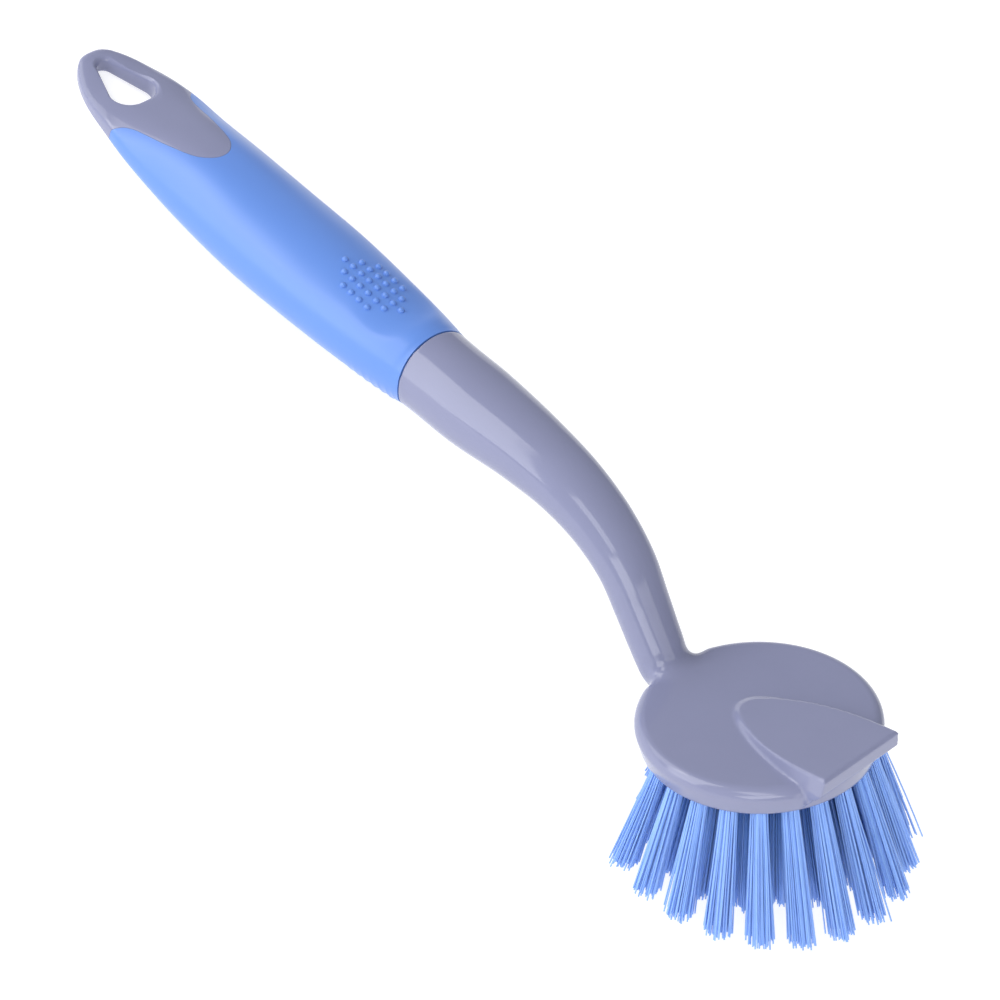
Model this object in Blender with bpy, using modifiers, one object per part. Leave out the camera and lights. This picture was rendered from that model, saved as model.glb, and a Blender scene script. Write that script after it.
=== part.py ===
"""Dish-washing brush: moulded handle and round head, soft grip sleeve, and set bristle tufts.

The brush is drawn in the frame of its head: the disc's top centre is the origin, the handle
runs towards -X and the bristles hang towards -Z. An empty then tips the whole brush onto the
two places that it lies on, the rear bristle tips and the belly of the grip.
"""

import bisect
import math
from dataclasses import astuple, dataclass

import bmesh
import bpy
from mathutils import Matrix, Vector

MM = 0.001

# Fits between neighbours
TOUCHING_GAP = 0.3 * MM
CUT_OVERRUN = 2 * MM
REST_CUT = 0.5 * MM
WELD_DISTANCE = 0.01 * MM

# Head disc
HEAD_DIAMETER = 60 * MM
HEAD_THICKNESS = 7.5 * MM
HEAD_EDGE_RADIUS = 2.4 * MM
HEAD_TAPER = 1 * MM
HEAD_SEGMENTS = 48
HEAD_EDGE_STEPS = 4

# Scraper ramp on the head
SCRAPER_LENGTH = 37.8 * MM
SCRAPER_WIDTH = 27.4 * MM
SCRAPER_HEIGHT = 4.4 * MM
SCRAPER_APEX_HEIGHT = 0.5 * MM
SCRAPER_OVERHANG = 2 * MM
SCRAPER_SHOULDER = 2.4 * MM
SCRAPER_NOSE = 1 * MM
SCRAPER_LIP = 0.9 * MM
SCRAPER_OUTLINE_SHARES = (
    (0, 0), (0.008, 0.11), (0.03, 0.22), (0.07, 0.33), (0.13, 0.45), (0.22, 0.58),
    (0.36, 0.74), (0.53, 0.87), (0.7, 0.95), (0.86, 0.985), (1, 1),
)
# Layers from the ramp down to the lip: side and nose insets, then height
SCRAPER_LAYER_SHARES = ((1, 1, 1), (0.3, 0.25, 0.78), (0, 0, 0.35))
SCRAPER_SKIRT_SHARE = 0.2
SCRAPER_ROOT_SHARE = 0.7
SCRAPER_ROOT_DEPTH_SHARE = 0.85

# Handle path, from the loop's tip to the neck's foot at the rim of the head
HANDLE_REACH = 243.4 * MM
HANDLE_RISE = 91.5 * MM
NECK_OVERHANG = 2.4 * MM
PATH_STEP = 0.5 * MM
RING_SEGMENTS = 28
STEPS_PER_SPAN = 3

# Hanging loop
LOOP_WIDTH = 28 * MM
LOOP_THICKNESS = 5.8 * MM
LOOP_TIP_RADIUS = 9.2 * MM
LOOP_TIP_FIRST_ANGLE = math.radians(12)
LOOP_TIP_LAST_ANGLE = math.radians(74)
LOOP_TIP_STEPS = 6
HANG_HOLE_LENGTH = 18.8 * MM
HANG_HOLE_WIDTH = 12.8 * MM
HANG_HOLE_TIP_RADIUS = 2.4 * MM
HANG_HOLE_BASE_RADIUS = 5 * MM
HANG_HOLE_FROM_TIP = 5.1 * MM
HANG_HOLE_RIM = 1.3 * MM
HANG_HOLE_ARC_STEPS = 5
HANG_HOLE_RIM_STEPS = 3
HANG_HOLE_RIM_LAST_ANGLE = math.radians(65)

# Grip and neck sections
GRIP_WIDTH = 32.3 * MM
GRIP_HEIGHT = 23.6 * MM
NECK_WIDTH = 24.3 * MM
NECK_THICKNESS = 20.7 * MM

# Stations: along the reach, up the rise, width, half heights above and below the path, then
# the flat top facet's height and how far it droops to the sides, and the section's squareness
LOOP_STATION_SHARES = (
    (0.0511, 0.9540, 0.775, 0.48, 0.48, 0.60, 0.30, 2.6),
    (0.1154, 0.9007, 1.00, 1.24, 0.78, 0.80, 0.57, 2.3),
)
GRIP_STATION_SHARES = (
    (0.1756, 0.8393, 0.930, 0.420, 0.320, 0.343, 0.58, 2.1),
    (0.2394, 0.7869, 0.975, 0.474, 0.420, 0.449, 0.64, 2.0),
    (0.3414, 0.7118, 1.000, 0.521, 0.489, 0.477, 0.55, 2.0),
    (0.4348, 0.6557, 0.986, 0.521, 0.489, 0.473, 0.52, 2.0),
    (0.5156, 0.6033, 0.921, 0.508, 0.464, 0.463, 0.47, 2.0),
    (0.5807, 0.5639, 0.835, 0.464, 0.451, 0.457, 0.40, 2.0),
    (0.6290, 0.5380, 0.750, 0.438, 0.438, 0.508, 0.30, 2.0),
)
NECK_STATION_SHARES = (
    (0.7068, 0.4957, 0.963, 0.478, 0.478, 0.62, 0.3, 2.1),
    (0.7946, 0.4508, 0.840, 0.416, 0.416, 0.54, 0.3, 2.1),
    (0.8598, 0.4000, 0.753, 0.368, 0.368, 0.48, 0.3, 2.1),
    (0.9136, 0.3226, 0.679, 0.329, 0.329, 0.43, 0.3, 2.1),
    (0.9462, 0.2416, 0.642, 0.314, 0.314, 0.41, 0.3, 2.1),
    (0.9688, 0.1426, 0.600, 0.310, 0.306, 0.40, 0.3, 2.1),
    (0.9890, 0.0480, 0.575, 0.335, 0.304, 0.43, 0.3, 2.1),
    (0.9975, 0.0090, 0.630, 0.410, 0.300, 0.52, 0.3, 2.1),
    (1.0060, -0.0300, 0.720, 0.450, 0.240, 0.57, 0.3, 2.1),
    (1.0170, -0.0660, 0.680, 0.340, 0.160, 0.45, 0.3, 2.1),
)

# Grip sleeve over its core
SLEEVE_WALL = 2.6 * MM
SLEEVE_START_SHARE = 0.1
CORE_STEPS = 14
CORE_SEGMENTS = 16

# Tongue of the hard plastic that runs from the loop into the grip, above and below
TONGUE_LENGTH = 27.3 * MM
TONGUE_WIDTH = 18 * MM
TONGUE_FROM_TIP = 27.8 * MM
TONGUE_OUTLINE_SHARES = (
    (0.08, 2.4), (0.05, 1.7), (0.02, 1.45), (0, 1.3), (0.02, 1.14), (0.07, 1.03),
    (0.16, 0.97), (0.32, 0.92), (0.55, 0.83), (0.74, 0.72), (0.87, 0.57), (0.95, 0.38),
    (0.99, 0.18), (1, 0),
)

# Thumb nubs on the top of the grip
NUB_ROWS = (4, 6, 8, 6, 4)
NUB_PITCH = 3 * MM
NUB_DIAMETER = 1.5 * MM
NUB_HEIGHT = 0.5 * MM
NUB_SINK = 0.5 * MM
NUB_CENTRE_FROM_SEAM = 24.4 * MM
NUB_SIDES = 6

# Finger ribs under the grip
RIB_COUNT = 7
RIB_PITCH = 2.6 * MM
RIB_HEIGHT = 0.6 * MM
RIB_END_MARGIN = 1.6 * MM
STEPS_PER_RIB = 2

# Tufts
TUFT_HOLE_DIAMETER = 4.4 * MM
TUFT_HOLE_DEPTH = 5 * MM
TUFT_HOLE_SIDES = 6
STRAND_ROOT_RADIUS = 0.4 * MM
STRAND_TIP_RADIUS = 0.55 * MM
STRAND_SIDES = 3
STRAND_OVERLAP = 0.3 * MM
TRIM_DEPTH = 33.8 * MM
TRIM_SLOPE = 0.198
INNER_STRANDS = 3
OUTER_STRANDS = 7
INNER_STRAND_SHARE = 0.45
UNEVEN_TRIM = 1.2 * MM
UNEVEN_STEP = math.radians(137.5)


@dataclass(frozen=True)
class TuftRing:
    """One ring of tufts: how many, the arc that they fill, and its radius at holes and tips."""

    name: str
    count: int
    arc: float
    turn: float
    radius: float
    tip_radius: float
    tip_spread: float

    def angles(self):
        """Angles of the tufts round the head, in even steps on either side of the ring's turn."""
        full = self.arc > 2 * math.pi - 0.001
        step = self.arc / (self.count if full else max(self.count - 1, 1))
        return [self.turn + step * (k - (self.count - 1) / 2) for k in range(self.count)]


# Tuft rings: name, tufts, arc and turn in degrees, then shares of the head's radius for the ring of
# holes, the ring of tips, and how far a tuft's own tips spread
TUFT_RING_SHARES = (
    ("outer", 15, 219, 0, 0.867, 1.23, 0.12),
    ("middle", 17, 360, 9, 0.62, 0.91, 0.093),
    ("inner", 9, 360, 0, 0.37, 0.567, 0.087),
    ("centre", 1, 0, 0, 0, 0, 0.087),
)
TUFT_RINGS = [
    TuftRing(
        name, count, math.radians(arc), math.radians(turn),
        *(share * HEAD_DIAMETER / 2 for share in shares),
    )
    for name, count, arc, turn, *shares in TUFT_RING_SHARES
]

# Colours, linear
HARD_GREY = (0.262, 0.275, 0.415, 1)
SOFT_BLUE = (0.155, 0.335, 0.83, 1)
BRISTLE_BLUE = (0.21, 0.42, 0.90, 1)


@dataclass(frozen=True)
class Section:
    """One cross section of the handle and the place of its centre in the XZ plane."""

    x: float
    z: float
    half_width: float
    above: float
    below: float
    facet: float
    droop: float
    squareness: float

    def top_at(self, y, inset=0):
        """Height of the upper surface at a distance y from the middle."""
        half_width = self.half_width - inset
        across = min(abs(y) / half_width, 1)
        body = (self.above - inset) * (1 - across**self.squareness) ** (1 / self.squareness)
        return min(body, (self.facet - inset) * (1 - self.droop * across**2))

    def bottom_at(self, y):
        """Depth of the lower surface at a distance y from the middle."""
        across = min(abs(y) / self.half_width, 1)
        return self.below * (1 - across**self.squareness) ** (1 / self.squareness)

    def point(self, angle, inset=0):
        """Sideways and upward offset of the outline at an angle from +Y."""
        side, up = math.cos(angle), math.sin(angle)
        power = 2 / self.squareness
        y = math.copysign(abs(side) ** power, side) * (self.half_width - inset)
        if up < 0:
            return y, -(abs(up) ** power) * (self.below - inset)
        body = up**power * (self.above - inset)
        return y, min(body, self.top_at(y, inset))


def clear_scene():
    """Remove whatever the file opened with."""
    for obj in list(bpy.data.objects):
        bpy.data.objects.remove(obj, do_unlink=True)
    for collection in list(bpy.data.collections):
        bpy.data.collections.remove(collection)


def new_collection(name):
    """A collection linked to the scene."""
    collection = bpy.data.collections.new(name)
    bpy.context.scene.collection.children.link(collection)
    return collection


def plastic(name, colour, roughness):
    """A plain moulded plastic."""
    material = bpy.data.materials.new(name)
    material.use_nodes = True
    shader = material.node_tree.nodes["Principled BSDF"]
    shader.inputs["Base Color"].default_value = colour
    shader.inputs["Roughness"].default_value = roughness
    shader.inputs["Metallic"].default_value = 0
    material.diffuse_color = colour
    return material


def object_from(name, mesh, collection, material=None):
    """A smooth-shaded object for a mesh."""
    obj = bpy.data.objects.new(name, mesh)
    collection.objects.link(obj)
    if material and not mesh.materials:
        mesh.materials.append(material)
    mesh.shade_smooth()
    mesh.set_sharp_from_angle(angle=math.radians(40))
    return obj


def as_cutter(obj):
    """Keep a helper shape out of the finished part."""
    obj.hide_render = True
    obj.display_type = "WIRE"
    return obj


def mesh_from(name, build):
    """A mesh filled by a function that takes a bmesh, with its faces turned outwards."""
    shape = bmesh.new()
    build(shape)
    bmesh.ops.recalc_face_normals(shape, faces=shape.faces)
    mesh = bpy.data.meshes.new(name)
    shape.to_mesh(mesh)
    shape.free()
    return mesh


def add_loft(shape, rings):
    """Join rings of points with side faces and close both ends."""
    rows = [[shape.verts.new(point) for point in ring] for ring in rings]
    for lower, upper in zip(rows, rows[1:]):
        for i, vert in enumerate(lower):
            j = (i + 1) % len(lower)
            shape.faces.new((vert, lower[j], upper[j], upper[i]))
    shape.faces.new(list(reversed(rows[0])))
    shape.faces.new(rows[-1])


def boolean(obj, operation, other):
    """Cut, join or intersect with another object."""
    modifier = obj.modifiers.new(f"{operation} {other.name}".lower(), "BOOLEAN")
    modifier.operation = operation
    modifier.solver = "EXACT"
    modifier.object = other


class Path:
    """The handle's centre line and sections, smooth through the stations."""

    def __init__(self, stations):
        self.rows = [astuple(station) for station in stations]
        self.at = [0.0]
        for a, b in zip(stations, stations[1:]):
            self.at.append(self.at[-1] + math.hypot(b.x - a.x, b.z - a.z))
        self.slopes = [self._slope(i) for i in range(len(self.rows))]

    def _slope(self, i):
        before, after = max(i - 1, 0), min(i + 1, len(self.rows) - 1)
        run = self.at[after] - self.at[before]
        return [(b - a) / run for a, b in zip(self.rows[before], self.rows[after])]

    def section(self, s):
        """The section at a distance s from the loop's tip."""
        i = min(max(bisect.bisect_right(self.at, s) - 1, 0), len(self.at) - 2)
        run = self.at[i + 1] - self.at[i]
        t = (s - self.at[i]) / run
        blend = (2 * t**3 - 3 * t**2 + 1, t**3 - 2 * t**2 + t, 3 * t**2 - 2 * t**3, t**3 - t**2)
        rows = self.rows[i], self.slopes[i], self.rows[i + 1], self.slopes[i + 1]
        return Section(*(
            blend[0] * a + blend[1] * run * m + blend[2] * b + blend[3] * run * n
            for a, m, b, n in zip(*rows)
        ))

    def frame(self, s):
        """Centre, direction towards the head and upward normal at s."""
        here = self.section(s)
        behind, ahead = self.section(s - PATH_STEP), self.section(s + PATH_STEP)
        along = Vector((ahead.x - behind.x, 0, ahead.z - behind.z)).normalized()
        return Vector((here.x, 0, here.z)), along, Vector((-along.z, 0, along.x))

    def ring(self, s, points, inset=0, extra=None):
        """The outline's points at s, each moved in by inset and out by extra(angle)."""
        centre, _, up = self.frame(s)
        section = self.section(s)
        ring = []
        for k in range(points):
            angle = 2 * math.pi * k / points
            y, h = section.point(angle, inset)
            if extra:
                h += extra(angle)
            ring.append(centre + Vector((0, y, 0)) + up * h)
        return ring

    def rings(self, first, last, count, points, inset=0):
        """Evenly spaced rings from first to last."""
        step = (last - first) / (count - 1)
        return [self.ring(first + k * step, points, inset) for k in range(count)]


def handle_stations():
    """The sections at the stations, from the loop's tip to inside the head."""
    foot = -HEAD_DIAMETER / 2 - NECK_OVERHANG
    tables = (
        (LOOP_STATION_SHARES, LOOP_WIDTH, LOOP_THICKNESS),
        (GRIP_STATION_SHARES, GRIP_WIDTH, GRIP_HEIGHT),
        (NECK_STATION_SHARES, NECK_WIDTH, NECK_THICKNESS),
    )
    stations = []
    for shares, width, height in tables:
        for along, rise, wide, above, below, facet, droop, squareness in shares:
            stations.append(Section(
                -HANDLE_REACH + along * (HANDLE_REACH + foot),
                rise * HANDLE_RISE,
                wide * width / 2,
                above * height,
                below * height,
                facet * height,
                droop,
                squareness,
            ))
    return stations


def loop_tip_sections(first):
    """Sections of the loop's rounded end, on the line from the tip to the first station."""
    tip = Vector((-HANDLE_REACH, 0, HANDLE_RISE))
    along = (Vector((first.x, 0, first.z)) - tip).normalized()
    sections = []
    for k in range(LOOP_TIP_STEPS):
        turn = k / (LOOP_TIP_STEPS - 1)
        angle = LOOP_TIP_FIRST_ANGLE + turn * (LOOP_TIP_LAST_ANGLE - LOOP_TIP_FIRST_ANGLE)
        back = LOOP_TIP_RADIUS * (1 - math.cos(angle))
        edge = min(back / first.above, 1)
        thickness = math.sqrt(1 - (1 - edge) ** 2)
        place = tip + along * back
        sections.append(Section(
            place.x,
            place.z,
            LOOP_TIP_RADIUS * math.sin(angle),
            first.above * thickness,
            first.below * thickness,
            first.facet * thickness,
            first.droop,
            first.squareness,
        ))
    return sections


def handle_path():
    """The whole handle's path, and the distances of its stations."""
    stations = handle_stations()
    return Path(loop_tip_sections(stations[0]) + stations)


def station_distance(path, table, row):
    """Distance along the path of one row of a station table."""
    tables = (LOOP_STATION_SHARES, GRIP_STATION_SHARES, NECK_STATION_SHARES)
    before = sum(len(t) for t in tables[: tables.index(table)])
    return path.at[LOOP_TIP_STEPS + before + row % len(table)]


def seam_distance(path):
    """Where the grip sleeve ends and the bare neck begins."""
    return station_distance(path, GRIP_STATION_SHARES, -1)


def sleeve_start(path):
    """Where the sleeve's cover begins, within the loop's zone that the tongue keeps clear."""
    return SLEEVE_START_SHARE * seam_distance(path)


def ring_distances(path, first, last):
    """Distances of the rings of a loft, STEPS_PER_SPAN between stations."""
    marks = [s for s in path.at if first < s < last]
    ends = [first, *marks, last]
    found = [first]
    for a, b in zip(ends, ends[1:]):
        found += [a + (b - a) * (k + 1) / STEPS_PER_SPAN for k in range(STEPS_PER_SPAN)]
    return found


def outward(outline, distance):
    """The open outline moved sideways, away from the middle line, by a distance."""
    moved = []
    for i, point in enumerate(outline):
        before, after = outline[max(i - 1, 0)], outline[min(i + 1, len(outline) - 1)]
        run = (after - before).normalized()
        moved.append(point + Vector((-run.y, run.x)) * distance)
    return moved


def tongue_outline(gap):
    """Plan of the tongue, as distance from the loop's tip and sideways, grown by a gap."""
    half = [
        Vector((TONGUE_FROM_TIP + along * TONGUE_LENGTH, across * TONGUE_WIDTH / 2))
        for along, across in TONGUE_OUTLINE_SHARES
    ]
    half = outward(half, gap)
    half[-1].y = 0
    back = half[0].x - TONGUE_LENGTH
    corner = Vector((back, half[0].y))
    return [corner, *half] + [Vector((p.x, -p.y)) for p in reversed([corner, *half[:-1]])]


def tongue_prism(name, path, gap, cutters):
    """The tongue's plan carried straight through the handle."""
    tip, along, up = loop_frame(path)
    outline = tongue_outline(gap)
    reach = up * GRIP_HEIGHT
    rings = [
        [tip + along * p.x + Vector((0, p.y, 0)) + lift for p in outline] for lift in (-reach, reach)
    ]
    mesh = mesh_from(name, lambda shape: add_loft(shape, rings))
    return as_cutter(object_from(name, mesh, cutters))


def loop_frame(path):
    """Tip of the loop, its direction towards the grip, and its upward normal."""
    _, along, up = path.frame(path.at[LOOP_TIP_STEPS])
    return Vector((-HANDLE_REACH, 0, HANDLE_RISE)), along, up


def rounded_outline(corners, grow, arc_points):
    """Outline round circles, given anticlockwise as centre and radius, grown outwards."""
    normals = []
    for (a, radius_a), (b, radius_b) in zip(corners, corners[1:] + corners[:1]):
        run = b - a
        lean = math.asin((radius_a - radius_b) / run.length)
        normals.append(math.atan2(run.y, run.x) - math.pi / 2 + lean)
    outline = []
    for i, (centre, radius) in enumerate(corners):
        start, end = normals[i - 1], normals[i]
        turn = (end - start) % (2 * math.pi)
        for k in range(arc_points):
            angle = start + turn * k / (arc_points - 1)
            outline.append(centre + Vector((math.cos(angle), math.sin(angle))) * (radius + grow))
    return outline


def hang_hole_corners():
    """The hole's three corner circles, as distance from the loop's tip and sideways."""
    tip_x = HANG_HOLE_FROM_TIP + HANG_HOLE_TIP_RADIUS
    base_x = HANG_HOLE_FROM_TIP + HANG_HOLE_LENGTH - HANG_HOLE_BASE_RADIUS
    base_y = HANG_HOLE_WIDTH / 2 - HANG_HOLE_BASE_RADIUS
    return [
        (Vector((tip_x, 0)), HANG_HOLE_TIP_RADIUS),
        (Vector((base_x, -base_y)), HANG_HOLE_BASE_RADIUS),
        (Vector((base_x, base_y)), HANG_HOLE_BASE_RADIUS),
    ]


def hang_hole_rim():
    """Steps of the rounded rim out of the loop: depth under its face, and how far it widens."""
    steps = []
    for k in range(HANG_HOLE_RIM_STEPS + 1):
        angle = k / HANG_HOLE_RIM_STEPS * HANG_HOLE_RIM_LAST_ANGLE
        steps.append((
            HANG_HOLE_RIM * (1 - math.sin(angle)), HANG_HOLE_RIM * (1 - math.cos(angle))
        ))
    depth, grow = steps[-1]
    flare = grow + (depth + CUT_OVERRUN) * math.tan(HANG_HOLE_RIM_LAST_ANGLE)
    return steps + [(-CUT_OVERRUN, flare)]


def hang_hole_cutter(path, cutters):
    """Teardrop hole with a rounded rim that follows each face of the loop."""
    tip, along, up = loop_frame(path)
    corners = hang_hole_corners()
    outline = rounded_outline(corners, 0, HANG_HOLE_ARC_STEPS)

    def face_height(p, side):
        section = path.section(p.x)
        centre = (Vector((section.x, 0, section.z)) - tip).dot(up)
        return centre + (section.top_at(p.y) if side > 0 else -section.bottom_at(p.y))

    def ring(grow, heights):
        plan = rounded_outline(corners, grow, HANG_HOLE_ARC_STEPS)
        return [tip + along * p.x + Vector((0, p.y, 0)) + up * h for p, h in zip(plan, heights)]

    rings = []
    for side in (-1, 1):
        faces = [face_height(p, side) for p in outline]
        rim = [
            ring(grow, [face - side * depth for face in faces]) for depth, grow in hang_hole_rim()
        ]
        end = side * (max(side * face for face in faces) + 2 * CUT_OVERRUN)
        rim.append(ring(hang_hole_rim()[-1][1], [end] * len(outline)))
        rings += rim if side > 0 else list(reversed(rim))
    mesh = mesh_from("hang_hole", lambda shape: add_loft(shape, rings))
    return as_cutter(object_from("hang_hole_cutter", mesh, cutters))


def core_solid(name, path, gap, cutters):
    """The core inside the sleeve, run past both of the sleeve's ends."""
    first = sleeve_start(path) - CUT_OVERRUN
    last = seam_distance(path) + CUT_OVERRUN
    rings = path.rings(first, last, CORE_STEPS, CORE_SEGMENTS, SLEEVE_WALL - gap)
    mesh = mesh_from(name, lambda shape: add_loft(shape, rings))
    return as_cutter(object_from(name, mesh, cutters))


def sleeve_space(path, cutters):
    """Room for the sleeve: a block round the grip, less the core and the tongue."""
    rings = path.rings(
        sleeve_start(path), seam_distance(path), CORE_STEPS, CORE_SEGMENTS, -CUT_OVERRUN
    )
    mesh = mesh_from("sleeve_space", lambda shape: add_loft(shape, rings))
    space = as_cutter(object_from("sleeve_space", mesh, cutters))
    boolean(space, "DIFFERENCE", core_solid("core", path, 0, cutters))
    boolean(space, "DIFFERENCE", tongue_prism("tongue", path, 0, cutters))
    return space


def head_disc(cutters):
    """The turned disc of the head."""
    radius = HEAD_DIAMETER / 2
    centre = Vector((radius - HEAD_EDGE_RADIUS, 0, -HEAD_EDGE_RADIUS))
    profile = [Vector((0, 0, 0))]
    for k in range(HEAD_EDGE_STEPS + 1):
        angle = math.pi / 2 * (1 - k / HEAD_EDGE_STEPS)
        profile.append(centre + Vector((math.cos(angle), 0, math.sin(angle))) * HEAD_EDGE_RADIUS)
    profile += [Vector((radius - HEAD_TAPER, 0, -HEAD_THICKNESS)), Vector((0, 0, -HEAD_THICKNESS))]
    mesh = bpy.data.meshes.new("head_disc")
    mesh.from_pydata(profile, [(i, i + 1) for i in range(len(profile) - 1)], [])
    disc = as_cutter(object_from("head_disc", mesh, cutters))
    screw = disc.modifiers.new("turn", "SCREW")
    screw.axis = "Z"
    screw.steps = HEAD_SEGMENTS
    screw.render_steps = HEAD_SEGMENTS
    screw.use_merge_vertices = True
    screw.merge_threshold = WELD_DISTANCE
    return disc


def scraper_outline():
    """Plan of the scraper: share of its length from the apex, and sideways."""
    half = [
        (along, across * SCRAPER_WIDTH / 2) for along, across in reversed(SCRAPER_OUTLINE_SHARES)
    ]
    return half + [(along, -across) for along, across in reversed(half[:-1])]


def ramp_height(along):
    """Height of the ramp's plane at a share of its length from the apex."""
    return SCRAPER_APEX_HEIGHT + along * (SCRAPER_HEIGHT - SCRAPER_APEX_HEIGHT)


def scraper_solid(cutters):
    """Ramp that rises from a rounded apex to a straight blade across the front of the head."""
    front = HEAD_DIAMETER / 2 + SCRAPER_OVERHANG
    apex = front - SCRAPER_LENGTH
    root_front = HEAD_DIAMETER / 2 - HEAD_TAPER

    def layer(shoulder, nose, height_of):
        points = []
        for along, y in scraper_outline():
            inset = shoulder * SCRAPER_SHOULDER * ramp_height(along) / SCRAPER_HEIGHT
            along += (inset * (1 - along) - nose * SCRAPER_NOSE * along) / SCRAPER_LENGTH
            wide = y * (1 - inset / (SCRAPER_WIDTH / 2))
            place = apex + along * SCRAPER_LENGTH
            points.append(Vector((place, wide, height_of(ramp_height(along)))))
        return points

    rings = [
        layer(shoulder, nose, lambda rise, share=height: rise * share)
        for shoulder, nose, height in SCRAPER_LAYER_SHARES
    ]
    rings.append(layer(-SCRAPER_SKIRT_SHARE, SCRAPER_SKIRT_SHARE, lambda rise: -SCRAPER_LIP))
    depth = SCRAPER_ROOT_DEPTH_SHARE * HEAD_THICKNESS
    rings.append([
        Vector((apex + along * (root_front - apex), y * SCRAPER_ROOT_SHARE, -depth))
        for along, y in scraper_outline()
    ])
    mesh = mesh_from("scraper", lambda shape: add_loft(shape, rings))
    return as_cutter(object_from("scraper_ramp", mesh, cutters))


def tuft_places():
    """Every tuft's ring, number in its ring, and angle round the head."""
    return [
        (ring, number, angle)
        for ring in TUFT_RINGS
        for number, angle in enumerate(ring.angles(), 1)
    ]


def flat_outwards(angle):
    """Turn of a hole or plug that puts one of its flats towards the rim of the head."""
    return Matrix.Rotation(angle + math.pi / TUFT_HOLE_SIDES, 4, "Z")


def tuft_holes(cutters):
    """Blind holes in the underside of the head, one for each tuft."""

    def build(shape):
        height = TUFT_HOLE_DEPTH + CUT_OVERRUN
        middle = -HEAD_THICKNESS + TUFT_HOLE_DEPTH - height / 2
        for ring, _, angle in tuft_places():
            place = Vector((ring.radius * math.cos(angle), ring.radius * math.sin(angle), middle))
            bmesh.ops.create_cone(
                shape,
                cap_ends=True,
                segments=TUFT_HOLE_SIDES,
                radius1=TUFT_HOLE_DIAMETER / 2,
                radius2=TUFT_HOLE_DIAMETER / 2,
                depth=height,
                matrix=Matrix.Translation(place) @ flat_outwards(angle),
            )

    return as_cutter(object_from("tuft_holes", mesh_from("tuft_holes", build), cutters))


def handle_frame(path, part, cutters, material):
    """The one hard moulding: loop, tongue, core, neck, head and scraper."""
    distances = ring_distances(path, 0, path.at[-1])
    rings = [path.ring(s, RING_SEGMENTS) for s in distances]
    mesh = mesh_from("handle_frame", lambda shape: add_loft(shape, rings))
    frame = object_from("handle_frame", mesh, part, material)
    boolean(frame, "DIFFERENCE", sleeve_space(path, cutters))
    boolean(frame, "DIFFERENCE", hang_hole_cutter(path, cutters))
    boolean(frame, "UNION", head_disc(cutters))
    boolean(frame, "UNION", scraper_solid(cutters))
    boolean(frame, "DIFFERENCE", tuft_holes(cutters))
    return frame


def rib_bulge(path, s):
    """How far the underside stands out at s, as a function of the angle round the section."""
    last = seam_distance(path) - RIB_END_MARGIN
    into = (s - (last - RIB_COUNT * RIB_PITCH)) / RIB_PITCH
    wave = (1 - math.cos(2 * math.pi * into)) / 2 if 0 < into < RIB_COUNT else 0
    return lambda angle: -RIB_HEIGHT * wave * math.sqrt(max(0, -math.sin(angle)))


def thumb_nubs(path, cutters):
    """Low domes set in a square lattice on the top facet."""
    middle = seam_distance(path) - NUB_CENTRE_FROM_SEAM

    def build(shape):
        for row, count in enumerate(NUB_ROWS):
            y = (row - (len(NUB_ROWS) - 1) / 2) * NUB_PITCH
            for k in range(count):
                s = middle + (k - (count - 1) / 2) * NUB_PITCH
                centre, along, up = path.frame(s)
                seat = centre + Vector((0, y, 0)) + up * path.section(s).top_at(y)
                add_dome(shape, seat, along, up)

    return as_cutter(object_from("thumb_nubs", mesh_from("thumb_nubs", build), cutters))


def add_dome(shape, seat, along, up):
    """One nub: a low faceted dome whose foot is sunk under its seat."""
    across = up.cross(along)
    levels = ((-NUB_SINK, 1), (NUB_HEIGHT * 0.35, 0.92), (NUB_HEIGHT, 0.45))
    rings = []
    for height, share in levels:
        ring = []
        for k in range(NUB_SIDES):
            angle = 2 * math.pi * k / NUB_SIDES
            radius = share * NUB_DIAMETER / 2
            side = along * math.cos(angle) + across * math.sin(angle)
            ring.append(seat + up * height + side * radius)
        rings.append(ring)
    add_loft(shape, rings)


def grip_sleeve(path, part, cutters, material):
    """The soft sleeve, with ribs below and nubs above."""
    first, last = sleeve_start(path), seam_distance(path) - TOUCHING_GAP
    ribs_last = seam_distance(path) - RIB_END_MARGIN
    ribs_first = ribs_last - RIB_COUNT * RIB_PITCH
    distances = [s for s in ring_distances(path, first, last) if s < ribs_first]
    step = RIB_PITCH / STEPS_PER_RIB
    distances += [ribs_first + k * step for k in range(RIB_COUNT * STEPS_PER_RIB + 1)]
    distances.append(last)
    rings = [path.ring(s, RING_SEGMENTS, 0, rib_bulge(path, s)) for s in distances]
    mesh = mesh_from("grip_sleeve", lambda shape: add_loft(shape, rings))
    sleeve = object_from("grip_sleeve", mesh, part, material)
    boolean(sleeve, "UNION", thumb_nubs(path, cutters))
    boolean(sleeve, "DIFFERENCE", core_solid("core_with_gap", path, TOUCHING_GAP, cutters))
    boolean(sleeve, "DIFFERENCE", tongue_prism("tongue_with_gap", path, TOUCHING_GAP, cutters))
    return sleeve


def strand_places():
    """Where the strands stand in a tuft, as shares of its radius and angles."""
    places = []
    for count, share in ((INNER_STRANDS, INNER_STRAND_SHARE), (OUTER_STRANDS, 1)):
        places += [(share, 2 * math.pi * (k + share / 2) / count) for k in range(count)]
    return places


def trimmed_length(x):
    """Length of the strands below the head whose tips end at x on the trimming plane."""
    return TRIM_DEPTH - HEAD_THICKNESS + TRIM_SLOPE * x


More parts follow.
